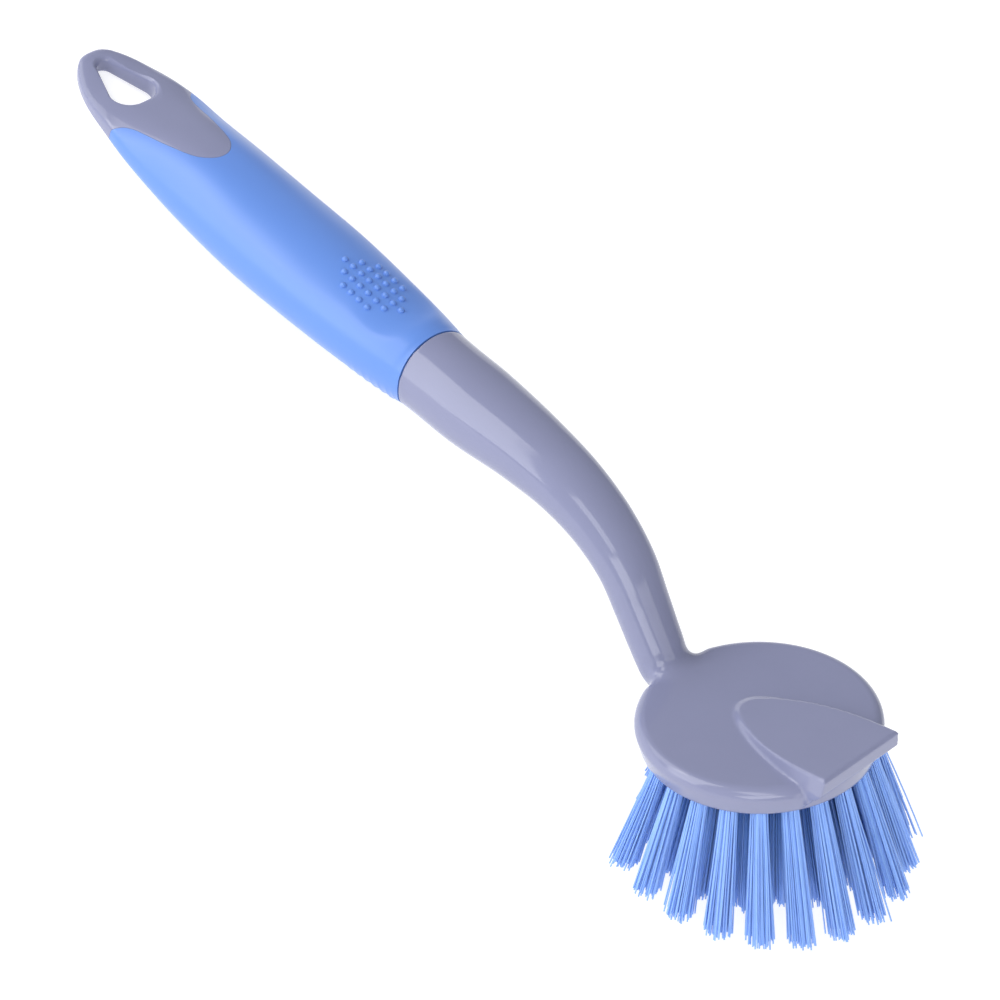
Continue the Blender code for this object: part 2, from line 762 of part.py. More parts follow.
def tuft_mesh(ring, turn, cutters):
    """One tuft in its own frame: root plug in its hole, strands down and leaning towards +X."""
    plug_radius = TUFT_HOLE_DIAMETER / 2 - TOUCHING_GAP
    root_spread = plug_radius * math.cos(math.pi / TUFT_HOLE_SIDES) - STRAND_ROOT_RADIUS
    top = TUFT_HOLE_DEPTH - TOUCHING_GAP
    bottom = -TOUCHING_GAP

    def build_plug(shape):
        bmesh.ops.create_cone(
            shape,
            cap_ends=True,
            segments=TUFT_HOLE_SIDES,
            radius1=plug_radius,
            radius2=plug_radius,
            depth=top - bottom,
            matrix=Matrix.Translation((0, 0, (top + bottom) / 2)) @ flat_outwards(0),
        )

    def build_strands(shape):
        for number, (share, angle) in enumerate(strand_places()):
            out = Vector((math.cos(angle), math.sin(angle), 0))
            root = out * share * root_spread + Vector((0, 0, bottom + STRAND_OVERLAP))
            tip = out * share * ring.tip_spread + Vector((ring.tip_radius - ring.radius, 0, 0))
            x = (ring.radius + tip.x) * math.cos(turn) - tip.y * math.sin(turn)
            tip.z = UNEVEN_TRIM * math.sin(number * UNEVEN_STEP + turn) - trimmed_length(x)
            add_strand(shape, root, tip, angle)

    plug = object_from("plug", mesh_from("plug", build_plug), cutters)
    strands = object_from("strands", mesh_from("strands", build_strands), cutters)
    boolean(plug, "UNION", strands)
    graph = bpy.context.evaluated_depsgraph_get()
    mesh = bpy.data.meshes.new_from_object(plug.evaluated_get(graph))
    for helper in (plug, strands):
        bpy.data.objects.remove(helper, do_unlink=True)
    return mesh


def add_strand(shape, root, tip, angle):
    """A thin prism from root to tip that thickens slightly on its way."""
    rings = []
    for end, radius in ((tip, STRAND_TIP_RADIUS), (root, STRAND_ROOT_RADIUS)):
        turns = [angle + 2 * math.pi * k / STRAND_SIDES for k in range(STRAND_SIDES)]
        rings.append([end + Vector((math.cos(t), math.sin(t), 0)) * radius for t in turns])
    add_loft(shape, rings)


def bristle_tufts(part, cutters, material):
    """Every tuft as its own object, named by its ring."""
    tufts = []
    for ring, number, angle in tuft_places():
        mesh = tuft_mesh(ring, angle, cutters)
        tuft = object_from(f"tuft_{ring.name}_{number:02d}", mesh, part, material)
        tuft.location = (
            ring.radius * math.cos(angle), ring.radius * math.sin(angle), -HEAD_THICKNESS
        )
        tuft.rotation_euler = (0, 0, angle)
        tufts.append(tuft)
    return tufts


def resting_matrix(path, tufts):
    """The move that lays the brush on the floor, sunk by the depth of its rest flats."""
    handle = [
        point
        for s in ring_distances(path, 0, seam_distance(path))
        for point in path.ring(s, RING_SEGMENTS)
    ]
    bpy.context.view_layer.update()
    tips = [tuft.matrix_world @ vert.co for tuft in tufts for vert in tuft.data.vertices]
    blade = Vector((HEAD_DIAMETER / 2 + SCRAPER_OVERHANG, 0, SCRAPER_HEIGHT))
    tilt = 0
    for _ in range(8):
        turn = Matrix.Rotation(-tilt, 4, "Y")
        low_grip = min(handle, key=lambda p: (turn @ p).z)
        low_tip = min(tips, key=lambda p: (turn @ p).z)
        tilt = math.atan2(low_grip.z - low_tip.z, low_tip.x - low_grip.x)
    turn = Matrix.Rotation(-tilt, 4, "Y")
    turned = [turn @ p for p in handle + tips + [blade]]
    middle = (min(p.x for p in turned) + max(p.x for p in turned)) / 2
    floor = min(p.z for p in turned) + REST_CUT
    return Matrix.Translation((-middle, 0, -floor)) @ turn


def floor_block(cutters):
    """A block whose top is the surface that the brush lies on."""
    size = 2 * HANDLE_REACH

    def build(shape):
        bmesh.ops.create_cube(shape, size=size, matrix=Matrix.Translation((0, 0, -size / 2)))

    return as_cutter(object_from("floor_block", mesh_from("floor_block", build), cutters))


def main():
    """Build the brush."""
    clear_scene()
    part = new_collection("cleaning_brush")
    cutters = new_collection("cutters")
    grey = plastic("hard_grey_plastic", HARD_GREY, 0.3)
    soft = plastic("soft_blue_rubber", SOFT_BLUE, 0.55)
    bristle = plastic("bristle_blue", BRISTLE_BLUE, 0.4)
    path = handle_path()
    frame = handle_frame(path, part, cutters, grey)
    sleeve = grip_sleeve(path, part, cutters, soft)
    tufts = bristle_tufts(part, cutters, bristle)

    rest = bpy.data.objects.new("resting_pose", None)
    part.objects.link(rest)
    placed = [frame, sleeve, *tufts, *cutters.objects]
    rest.matrix_world = resting_matrix(path, tufts)
    for obj in placed:
        obj.parent = rest
    floor = floor_block(cutters)
    bpy.context.view_layer.update()
    for obj in [frame, sleeve, *tufts]:
        if min((obj.matrix_world @ Vector(corner)).z for corner in obj.bound_box) < 0:
            boolean(obj, "DIFFERENCE", floor)


main()
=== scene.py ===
"""Dressed model of a dish-washing brush on a plain pale floor under soft studio light.

The brush is drawn in the frame of its head: the disc's top centre is the origin, the handle
runs towards -X and the bristles hang towards -Z. One move then lays it down on the floor, on
its rear bristle tips and the belly of its grip. Lengths are in metres.
"""

import logging
import math
import random
from dataclasses import dataclass, field
from enum import Enum
from typing import Callable, Iterator, Sequence

import bmesh
import bpy
import numpy as np
from mathutils import Matrix, Vector
from mathutils.bvhtree import BVHTree
from mathutils.kdtree import KDTree


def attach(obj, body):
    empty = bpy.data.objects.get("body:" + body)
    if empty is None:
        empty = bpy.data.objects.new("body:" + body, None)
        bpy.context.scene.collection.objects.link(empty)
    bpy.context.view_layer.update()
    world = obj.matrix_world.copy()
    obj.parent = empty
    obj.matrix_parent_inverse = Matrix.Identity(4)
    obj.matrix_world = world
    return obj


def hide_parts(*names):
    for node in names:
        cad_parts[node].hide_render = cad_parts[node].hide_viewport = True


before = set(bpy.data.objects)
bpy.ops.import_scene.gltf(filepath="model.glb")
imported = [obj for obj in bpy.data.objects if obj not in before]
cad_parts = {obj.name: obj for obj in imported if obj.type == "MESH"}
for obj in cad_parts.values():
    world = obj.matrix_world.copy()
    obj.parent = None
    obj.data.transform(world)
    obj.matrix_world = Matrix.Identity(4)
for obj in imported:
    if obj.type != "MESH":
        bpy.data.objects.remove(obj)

MM = 0.001
BODY = "root"
SEED = 7
RELAX_PULL = 0.6
LOG = logging.getLogger("dish_brush")

Colour = tuple[float, float, float, float]
Points = np.ndarray


class Slot(Enum):
    """Material slots of the part's record."""

    HARD = "hard_plastic"
    SOFT = "soft_grip"
    BRISTLE = "bristle"


class Face(Enum):
    """The upper and the lower face of the handle."""

    UPPER = 1
    LOWER = -1


# Finishes


@dataclass(frozen=True)
class Grain:
    """A noise pattern with its fineness and strength."""

    scale: float
    strength: float = 1.0
    detail: float = 3.0

    def add(self, tree: bpy.types.NodeTree, place: bpy.types.NodeSocket) -> bpy.types.NodeSocket:
        """Add the pattern's node.

        Args:
            tree: The material's node tree.
            place: Socket that gives the point's place on the object.

        Returns:
            The pattern's value, about 0 to 1.
        """
        node = tree.nodes.new("ShaderNodeTexNoise")
        node.inputs["Scale"].default_value = self.scale
        node.inputs["Detail"].default_value = self.detail
        tree.links.new(place, node.inputs["Vector"])
        return node.outputs["Fac"]


@dataclass(frozen=True)
class Finish:
    """A plastic finish, mottled slightly between two colours, and in gloss and relief.

    A finish with a strand attribute gives each strand its own tone between the two colours; for
    the bristles the attribute also carries painted shade at the roots of the inner tufts.
    """

    name: str
    colour: Colour
    shade: Colour
    roughness: float
    roughness_swing: float
    mottle: Grain
    relief: Grain
    relief_height: float
    ior: float = 1.49
    sheen: float = 0.0
    strand_attribute: str = ""

    def build(self) -> bpy.types.Material:
        """Make the material.

        Returns:
            The finished node material.
        """
        material = bpy.data.materials.new(self.name)
        material.use_nodes = True
        material.diffuse_color = self.colour
        tree = material.node_tree
        shader = tree.nodes["Principled BSDF"]
        place = tree.nodes.new("ShaderNodeTexCoord").outputs["Object"]
        mottle = self.mottle.add(tree, place)
        amount = self._strand_amount(tree, mottle) if self.strand_attribute else mottle
        ramp = tree.nodes.new("ShaderNodeMix")
        ramp.data_type = "RGBA"
        ramp.inputs[6].default_value = self.shade
        ramp.inputs[7].default_value = self.colour
        tree.links.new(amount, ramp.inputs[0])
        tree.links.new(ramp.outputs[2], shader.inputs["Base Color"])
        self._link_roughness(tree, shader, mottle)
        self._link_relief(tree, shader, place)
        shader.inputs["Metallic"].default_value = 0
        shader.inputs["IOR"].default_value = self.ior
        shader.inputs["Sheen Weight"].default_value = self.sheen
        return material

    def _strand_amount(
        self, tree: bpy.types.NodeTree, mottle: bpy.types.NodeSocket
    ) -> bpy.types.NodeSocket:
        """Add each strand's own tone, with the painted root shade that the bristles' attribute
        carries, to the mottling.

        Args:
            tree: The material's node tree.
            mottle: The mottling's value.

        Returns:
            The sum, from 0 to 1.
        """
        tone = tree.nodes.new("ShaderNodeAttribute")
        tone.attribute_name = self.strand_attribute
        joined = tree.nodes.new("ShaderNodeMath")
        joined.operation = "MULTIPLY_ADD"
        joined.use_clamp = True
        joined.inputs[1].default_value = self.mottle.strength
        tree.links.new(mottle, joined.inputs[0])
        tree.links.new(tone.outputs["Fac"], joined.inputs[2])
        return joined.outputs[0]

    def _link_roughness(
        self, tree: bpy.types.NodeTree, shader: bpy.types.Node, mottle: bpy.types.NodeSocket
    ) -> None:
        """Vary the roughness a little with the mottling.

        Args:
            tree: The material's node tree.
            shader: The surface shader.
            mottle: The mottling's value.
        """
        spread = tree.nodes.new("ShaderNodeMapRange")
        spread.inputs["To Min"].default_value = self.roughness - self.roughness_swing
        spread.inputs["To Max"].default_value = self.roughness + self.roughness_swing
        tree.links.new(mottle, spread.inputs["Value"])
        tree.links.new(spread.outputs["Result"], shader.inputs["Roughness"])

    def _link_relief(
        self, tree: bpy.types.NodeTree, shader: bpy.types.Node, place: bpy.types.NodeSocket
    ) -> None:
        """Add the fine relief of the surface.

        Args:
            tree: The material's node tree.
            shader: The surface shader.
            place: Socket that gives the point's place on the object.
        """
        bump = tree.nodes.new("ShaderNodeBump")
        bump.inputs["Strength"].default_value = self.relief.strength
        bump.inputs["Distance"].default_value = self.relief_height
        tree.links.new(self.relief.add(tree, place), bump.inputs["Height"])
        tree.links.new(bump.outputs["Normal"], shader.inputs["Normal"])


HARD_GREY = Finish(
    name="moulded_grey_plastic",
    colour=(0.242, 0.255, 0.388, 1),
    shade=(0.228, 0.241, 0.37, 1),
    roughness=0.11,
    roughness_swing=0.02,
    mottle=Grain(90),
    relief=Grain(700, 0.12),
    relief_height=0.02 * MM,
)
SOFT_BLUE = Finish(
    name="soft_blue_rubber",
    colour=(0.123, 0.26, 0.68, 1),
    shade=(0.118, 0.252, 0.67, 1),
    roughness=0.3,
    roughness_swing=0.04,
    mottle=Grain(60),
    relief=Grain(2600, 0.25, detail=5),
    relief_height=0.03 * MM,
    sheen=0.04,
)
BRISTLE_BLUE = Finish(
    name="blue_nylon_filament",
    colour=(0.3, 0.5, 0.97, 1),
    # the dark colour also takes the painted shade at the roots of the inner tufts, besides the
    # darker strands' own tone
    shade=(0.03, 0.13, 0.44, 1),
    roughness=0.34,
    roughness_swing=0.05,
    mottle=Grain(260, 0.25),
    relief=Grain(1800, 0.15),
    relief_height=0.02 * MM,
    strand_attribute="strand_tone_and_root_shade",
)
FLOOR_PAPER = Finish(
    name="white_backdrop_paper",
    colour=(0.56, 0.56, 0.565, 1),
    shade=(0.55, 0.55, 0.555, 1),
    roughness=0.8,
    roughness_swing=0.05,
    mottle=Grain(5),
    relief=Grain(900, 0.1),
    relief_height=0.05 * MM,
)


# Mesh helpers


def mesh_from_arrays(name: str, points: Points, faces: Sequence[Sequence[int]]) -> bpy.types.Mesh:
    """Make a mesh from points and faces.

    Args:
        name: The mesh's name.
        points: One row a point.
        faces: The points of each face, counted from 0.

    Returns:
        The mesh, with its faces turned outwards.
    """
    mesh = bpy.data.meshes.new(name)
    mesh.from_pydata([tuple(p) for p in points], [], [list(f) for f in faces])
    shape = bmesh.new()
    shape.from_mesh(mesh)
    bmesh.ops.recalc_face_normals(shape, faces=shape.faces)
    shape.to_mesh(mesh)
    shape.free()
    return mesh


def loft(name: str, rings: Points) -> bpy.types.Mesh:
    """Close a row of rings into one solid.

    Args:
        name: The mesh's name.
        rings: Points by ring, place in the ring, and axis.

    Returns:
        The closed mesh.
    """
    count, sides = rings.shape[:2]
    here = np.arange(sides)
    after = (here + 1) % sides
    faces: list[Sequence[int]] = []
    for k in range(count - 1):
        low, high = k * sides, (k + 1) * sides
        faces += np.stack([low + here, low + after, high + after, high + here], 1).tolist()
    faces.append(list(reversed(range(sides))))
    faces.append(list(range((count - 1) * sides, count * sides)))
    return mesh_from_arrays(name, rings.reshape(-1, 3), faces)


def joined(name: str, meshes: Sequence[bpy.types.Mesh]) -> bpy.types.Mesh:
    """Copy meshes into one, each as it is.

    Args:
        name: The new mesh's name.
        meshes: The meshes.

    Returns:
        The mesh that holds them all.
    """
    shape = bmesh.new()
    for mesh in meshes:
        shape.from_mesh(mesh)
    whole = bpy.data.meshes.new(name)
    shape.to_mesh(whole)
    shape.free()
    return whole


def lofts(name: str, solids: Sequence[Points]) -> bpy.types.Mesh:
    """Join several lofts that don't touch into one mesh.

    Args:
        name: The mesh's name.
        solids: The rings of each solid.

    Returns:
        The joined mesh.
    """
    singles = [loft(name, rings) for rings in solids]
    mesh = joined(name, singles)
    for single in singles:
        bpy.data.meshes.remove(single)
    return mesh


def linked(name: str, data: bpy.types.ID) -> bpy.types.Object:
    """Put a new object into the scene.

    Args:
        name: Its name.
        data: Its mesh, light or camera.

    Returns:
        The object.
    """
    obj = bpy.data.objects.new(name, data)
    bpy.context.scene.collection.objects.link(obj)
    return obj


def evaluated(obj: bpy.types.Object) -> bpy.types.Mesh:
    """Apply an object's modifiers and remove the object.

    Args:
        obj: The object with its modifiers.

    Returns:
        The finished mesh.
    """
    graph = bpy.context.evaluated_depsgraph_get()
    mesh = bpy.data.meshes.new_from_object(obj.evaluated_get(graph))
    mesh.name = obj.name
    bpy.data.objects.remove(obj, do_unlink=True)
    return mesh


def combine(mesh: bpy.types.Mesh, steps: Sequence[tuple[str, bpy.types.Mesh]]) -> bpy.types.Mesh:
    """Cut a mesh by, or join it with, others in turn.

    Args:
        mesh: The mesh to start from.
        steps: Pairs of a Boolean operation and the other mesh.

    Returns:
        The result.
    """
    obj = linked(mesh.name, mesh)
    others = []
    for operation, other_mesh in steps:
        other = linked(other_mesh.name, other_mesh)
        others.append(other)
        modifier = obj.modifiers.new(operation.lower(), "BOOLEAN")
        modifier.operation = operation
        modifier.solver = "EXACT"
        modifier.object = other
    result = evaluated(obj)
    for other in others:
        bpy.data.objects.remove(other, do_unlink=True)
    return result


def smooth_min(a: Points, b: Points, width: Points) -> Points:
    """The smaller of two values, with the corner between them rounded.

    Args:
        a: The first values.
        b: The second values.
        width: How far apart the two are where the rounding starts.

    Returns:
        The rounded minimum.
    """
    near = np.maximum(width - np.abs(a - b), 0) / width
    return np.minimum(a, b) - near**2 * width / 4


def smooth_step(value: Points) -> Points:
    """Rise smoothly from 0 to 1 as the value does."""
    t = np.clip(value, 0, 1)
    return t * t * (3 - 2 * t)


# Handle


@dataclass
class Stations:
    """Cross sections of the handle as shares of its sizes.

    Each row is the distance along the reach, up the rise, the width, the half heights above and
    below the path, the top facet's height, its droop to the sides and the power of that droop,
    the width of the facet's rounded edge as a share of the width, and the squareness.
    """

    loop_shares: tuple = (
        (0.0511, 0.9540, 0.756, 0.48, 0.48, 0.60, 0.30, 2, 0.070, 3.4),
        (0.1154, 0.9007, 0.982, 1.15, 0.78, 0.76, 0.52, 3.0, 0.040, 2.8),
    )
    grip_shares: tuple = (
        (0.1756, 0.8393, 0.930, 0.420, 0.320, 0.350, 0.70, 3.0, 0.025, 2.1),
        (0.2394, 0.7869, 0.975, 0.474, 0.420, 0.449, 0.70, 2.6, 0.015, 2.0),
        (0.3414, 0.7118, 1.000, 0.521, 0.489, 0.477, 0.57, 2.2, 0.015, 2.0),
        (0.4348, 0.6557, 0.986, 0.521, 0.489, 0.473, 0.52, 2, 0.015, 2.0),
        (0.5156, 0.6033, 0.921, 0.508, 0.464, 0.463, 0.47, 2, 0.015, 2.0),
        (0.5807, 0.5639, 0.835, 0.484, 0.451, 0.432, 0.38, 2, 0.015, 2.0),
        (0.6290, 0.5380, 0.750, 0.438, 0.438, 0.515, 0.30, 2, 0.015, 2.0),
    )
    neck_shares: tuple = (
        (0.7068, 0.4957, 0.963, 0.478, 0.478, 0.62, 0.3, 2, 0.015, 2.1),
        (0.7946, 0.4508, 0.840, 0.416, 0.416, 0.54, 0.3, 2, 0.015, 2.1),
        (0.8598, 0.4000, 0.752, 0.368, 0.368, 0.48, 0.3, 2, 0.015, 2.1),
        (0.9136, 0.3226, 0.681, 0.332, 0.332, 0.43, 0.3, 2, 0.015, 2.1),
        (0.9462, 0.2416, 0.634, 0.314, 0.314, 0.41, 0.3, 2, 0.015, 2.1),
        (0.9688, 0.1426, 0.594, 0.305, 0.305, 0.40, 0.3, 2, 0.015, 2.1),
        (0.9890, 0.0480, 0.562, 0.302, 0.300, 0.40, 0.3, 2, 0.015, 2.1),
        (0.9975, 0.0090, 0.550, 0.302, 0.290, 0.40, 0.3, 2, 0.015, 2.1),
        (1.0060, -0.0300, 0.545, 0.300, 0.240, 0.40, 0.3, 2, 0.015, 2.1),
        (1.0170, -0.0660, 0.520, 0.280, 0.160, 0.37, 0.3, 2, 0.015, 2.1),
    )


@dataclass
class Handle:
    """Centre line and sections of the handle, from the loop's tip to the foot of the neck.

    The seam between sleeve and neck leans back towards the loop above and below a height on
    the section, its foot. It is rounded there over the bend, and the sections near it lean less
    and less over its reach. The facet fades in over a share of the rise above the sides.
    """

    reach: float = 243.4 * MM
    rise: float = 91.5 * MM
    foot: float = -32.4 * MM
    loop_width: float = 28 * MM
    loop_thickness: float = 5.8 * MM
    nose_length: float = 33.4 * MM
    nose_half_width: float = 14 * MM
    tip_places: tuple = (0.02, 0.08, 0.2, 0.36, 0.55, 0.77)
    grip_width: float = 32.3 * MM
    grip_height: float = 23.6 * MM
    neck_width: float = 24.3 * MM
    neck_thickness: float = 20.7 * MM
    seam_lean: float = 0.17
    seam_foot: float = -1.5 * MM
    seam_bend: float = 1.5 * MM
    seam_reach: float = 4.5 * MM
    facet_fade: float = 0.12
    step: float = 0.5 * MM
    stations: Stations = field(default_factory=Stations)

    def __post_init__(self) -> None:
        """Work out the path's knots."""
        rows = []
        tables = (
            (self.stations.loop_shares, self.loop_width, self.loop_thickness),
            (self.stations.grip_shares, self.grip_width, self.grip_height),
            (self.stations.neck_shares, self.neck_width, self.neck_thickness),
        )
        for shares, width, height in tables:
            for along, up, wide, above, below, facet, droop, power, edge, squareness in shares:
                rows.append((
                    -self.reach + along * (self.reach + self.foot), up * self.rise,
                    wide * width / 2, above * height, below * height, facet * height,
                    droop, power, edge * width, squareness,
                ))
        self.knots = np.array(self._tip_rows(rows[0]) + rows)
        runs = np.hypot(*np.diff(self.knots[:, :2], axis=0).T)
        self.at = np.concatenate([[0], np.cumsum(runs)])
        self.slopes = np.gradient(self.knots, self.at, axis=0)
        self.loop_tip = Vector((-self.reach, 0, self.rise))
        _, along, up = self.frames(self.at[len(self.tip_places):][:1])
        self.loop_along, self.loop_up = Vector(along[0]), Vector(up[0])

    def _tip_rows(self, first: Sequence[float]) -> list[tuple[float, ...]]:
        """Sections of the loop's rounded end, on the line from the tip to the first station.

        Args:
            first: The first station's section.

        Returns:
            The sections, from the tip on.
        """
        tip = np.array([-self.reach, self.rise])
        lead = np.array(first[:2]) - tip
        lead /= np.hypot(*lead)
        rows = []
        run = math.dist(tip, first[:2])
        for share in self.tip_places:
            back = share * run
            edge = min(back / first[3], 1)
            thickness = math.sqrt(1 - (1 - edge) ** 2)
            place = tip + lead * back
            half = self.nose_half_width * math.sqrt(1 - (1 - back / self.nose_length) ** 2)
            rows.append((
                place[0], place[1], half,
                *(value * thickness for value in first[3:6]), *first[6:],
            ))
        return rows

    @property
    def seam(self) -> float:
        """Distance along the path where the sleeve ends and the bare neck begins."""
        before = len(self.stations.loop_shares) + len(self.stations.grip_shares)
        return float(self.at[len(self.tip_places) + before - 1])

    def sections(self, s: Points) -> Points:
        """Sections of the handle, smooth through the knots.

        Args:
            s: Distances along the path.

        Returns:
            One row a distance, with the same columns as the knots.
        """
        i = np.clip(np.searchsorted(self.at, s, "right") - 1, 0, len(self.at) - 2)
        run = (self.at[i + 1] - self.at[i])[:, None]
        t = (s - self.at[i])[:, None] / run
        return (
            (2 * t**3 - 3 * t**2 + 1) * self.knots[i]
            + (t**3 - 2 * t**2 + t) * run * self.slopes[i]
            + (3 * t**2 - 2 * t**3) * self.knots[i + 1]
            + (t**3 - t**2) * run * self.slopes[i + 1]
        )

    def frames(self, s: Points) -> tuple[Points, Points, Points]:
        """Places and directions of sections.

        Args:
            s: Distances along the path.

        Returns:
            The centres, the directions towards the head, and the upward normals.
        """
        here = self.sections(s)
        lead = self.sections(s + self.step)[:, :2] - self.sections(s - self.step)[:, :2]
        lead /= np.hypot(lead[:, 0], lead[:, 1])[:, None]
        zero = np.zeros(len(s))
        centre = np.stack([here[:, 0], zero, here[:, 1]], 1)
        along = np.stack([lead[:, 0], zero, lead[:, 1]], 1)
        up = np.stack([-lead[:, 1], zero, lead[:, 0]], 1)
        return centre, along, up

    def heights(self, s: Points, y: Points, face: Face, inset: float = 0) -> Points:
        """Height of a face over the centre line.

        Args:
            s: Distances along the path.
            y: Distances to the side.
            face: The upper or the lower face.
            inset: How far the face is moved in.

        Returns:
            The heights, one for each pair of distances.
        """
        rows = self.sections(s)
        half, above, below, facet, droop, power, edge, squareness = rows[:, 2:].T
        across = np.minimum(np.abs(y) / (half - inset), 1)
        bow = (1 - across**squareness) ** (1 / squareness)
        if face is Face.LOWER:
            return -(below - inset) * bow
        cap = (facet - inset) * (1 - droop * across**power)
        return smooth_min(bow * (above - inset), cap, edge)

    def rings(
        self,
        s: Points,
        sides: int,
        inset: float | Points = 0,
        extra: Callable[[Points, Points], Points] | None = None,
    ) -> Points:
        """Outlines of the handle.

        Args:
            s: Distances along the path.
            sides: Points in each outline.
            inset: How far the outline is moved in, for all or by ring.
            extra: Height to add, from distance and angle.

        Returns:
            Points by ring, place in the ring, and axis.
        """
        rows = self.sections(s)
        centre, along, up = self.frames(s)
        angle = np.linspace(0, 2 * math.pi, sides, endpoint=False)[None, :]
        half, above, below, facet, droop, power, edge, squareness = (
            column[:, None] for column in rows[:, 2:].T
        )
        side, rising = np.cos(angle), np.sin(angle)
        y = np.sign(side) * np.abs(side) ** (2 / squareness) * (half - inset)
        across = np.minimum(np.abs(y) / (half - inset), 1)
        body = np.abs(rising) ** (2 / squareness)
        cap = (facet - inset) * (1 - droop * across**power)
        top = smooth_min(body * (above - inset), cap, edge)
        fade = smooth_step(rising / self.facet_fade)
        top = top * fade + np.minimum(body * (above - inset), cap) * (1 - fade)
        height = np.where(rising < 0, -body * (below - inset), top)
        if extra:
            height = height + extra(s[:, None], angle)
        away = np.abs(s[:, None] - self.seam) / self.seam_reach
        off = np.hypot(height - self.seam_foot, self.seam_bend) - self.seam_bend
        shift = self.seam_lean * off * smooth_step(1 - away)
        points = centre[:, None, :] + up[:, None, :] * height[:, :, None]
        points -= along[:, None, :] * shift[:, :, None]
        points[:, :, 1] = y
        return points


# Shapes cut out of, or set on, the handle


def spline_through(points: Sequence[tuple[float, float]], steps: int) -> Points:
    """A smooth plane curve through points.

    Args:
        points: The points to pass through.
        steps: Steps between one point and the next.

    Returns:
        The curve's points.
    """
    p = np.array([points[0], *points, points[-1]], float)
    curve = []
    for i in range(1, len(p) - 2):
        for k in range(steps):
            t = k / steps
            curve.append(
                0.5 * (
                    2 * p[i] + (p[i + 1] - p[i - 1]) * t
                    + (2 * p[i - 1] - 5 * p[i] + 4 * p[i + 1] - p[i + 2]) * t**2
                    + (3 * p[i] - p[i - 1] - 3 * p[i + 1] + p[i + 2]) * t**3
                )
            )
    return np.array([*curve, p[-1]])


@dataclass
class Tongue:
    """Tongue of hard plastic that runs from the loop into the grip, above and below."""

    handle: Handle
    length: float = 27.3 * MM
    width: float = 18 * MM
    from_tip: float = 27.8 * MM
    outline_shares: tuple = (
        (-0.1, 2.4), (-0.06, 1.85), (-0.033, 1.55), (0, 1.39), (0.05, 1.24), (0.14, 1.11),
        (0.27, 1.03), (0.44, 0.95), (0.6, 0.85), (0.76, 0.73), (0.87, 0.59), (0.95, 0.38),
        (0.99, 0.18), (1, 0),
    )
    curve_steps: int = 4

    def outline(self, gap: float) -> Points:
        """Plan of the tongue.

        Args:
            gap: How far the plan is grown.

        Returns:
            Points as distance from the loop's tip and sideways.
        """
        half = spline_through(self.outline_shares, self.curve_steps)
        half = np.stack([
            self.from_tip + half[:, 0] * self.length, half[:, 1] * self.width / 2
        ], 1)
        run = np.gradient(half, axis=0)
        run /= np.hypot(run[:, 0], run[:, 1])[:, None]
        half += np.stack([-run[:, 1], run[:, 0]], 1) * gap
        half[-1, 1] = 0
        corner = np.array([[half[0, 0] - self.length, half[0, 1]]])
        side = np.concatenate([corner, half])
        return np.concatenate([side, side[-2::-1] * (1, -1)])

    def prism(self, name: str, gap: float) -> bpy.types.Mesh:
        """The plan carried straight through the handle.

        Args:
            name: The mesh's name.
            gap: How far the plan is grown.

        Returns:
            The closed prism.
        """
        handle = self.handle
        plan = self.outline(gap)
        base = np.array(handle.loop_tip) + plan[:, :1] * np.array(handle.loop_along)
        base[:, 1] += plan[:, 1]
        lift = np.array(handle.loop_up) * handle.grip_height
        return loft(name, np.stack([base - lift, base + lift]))


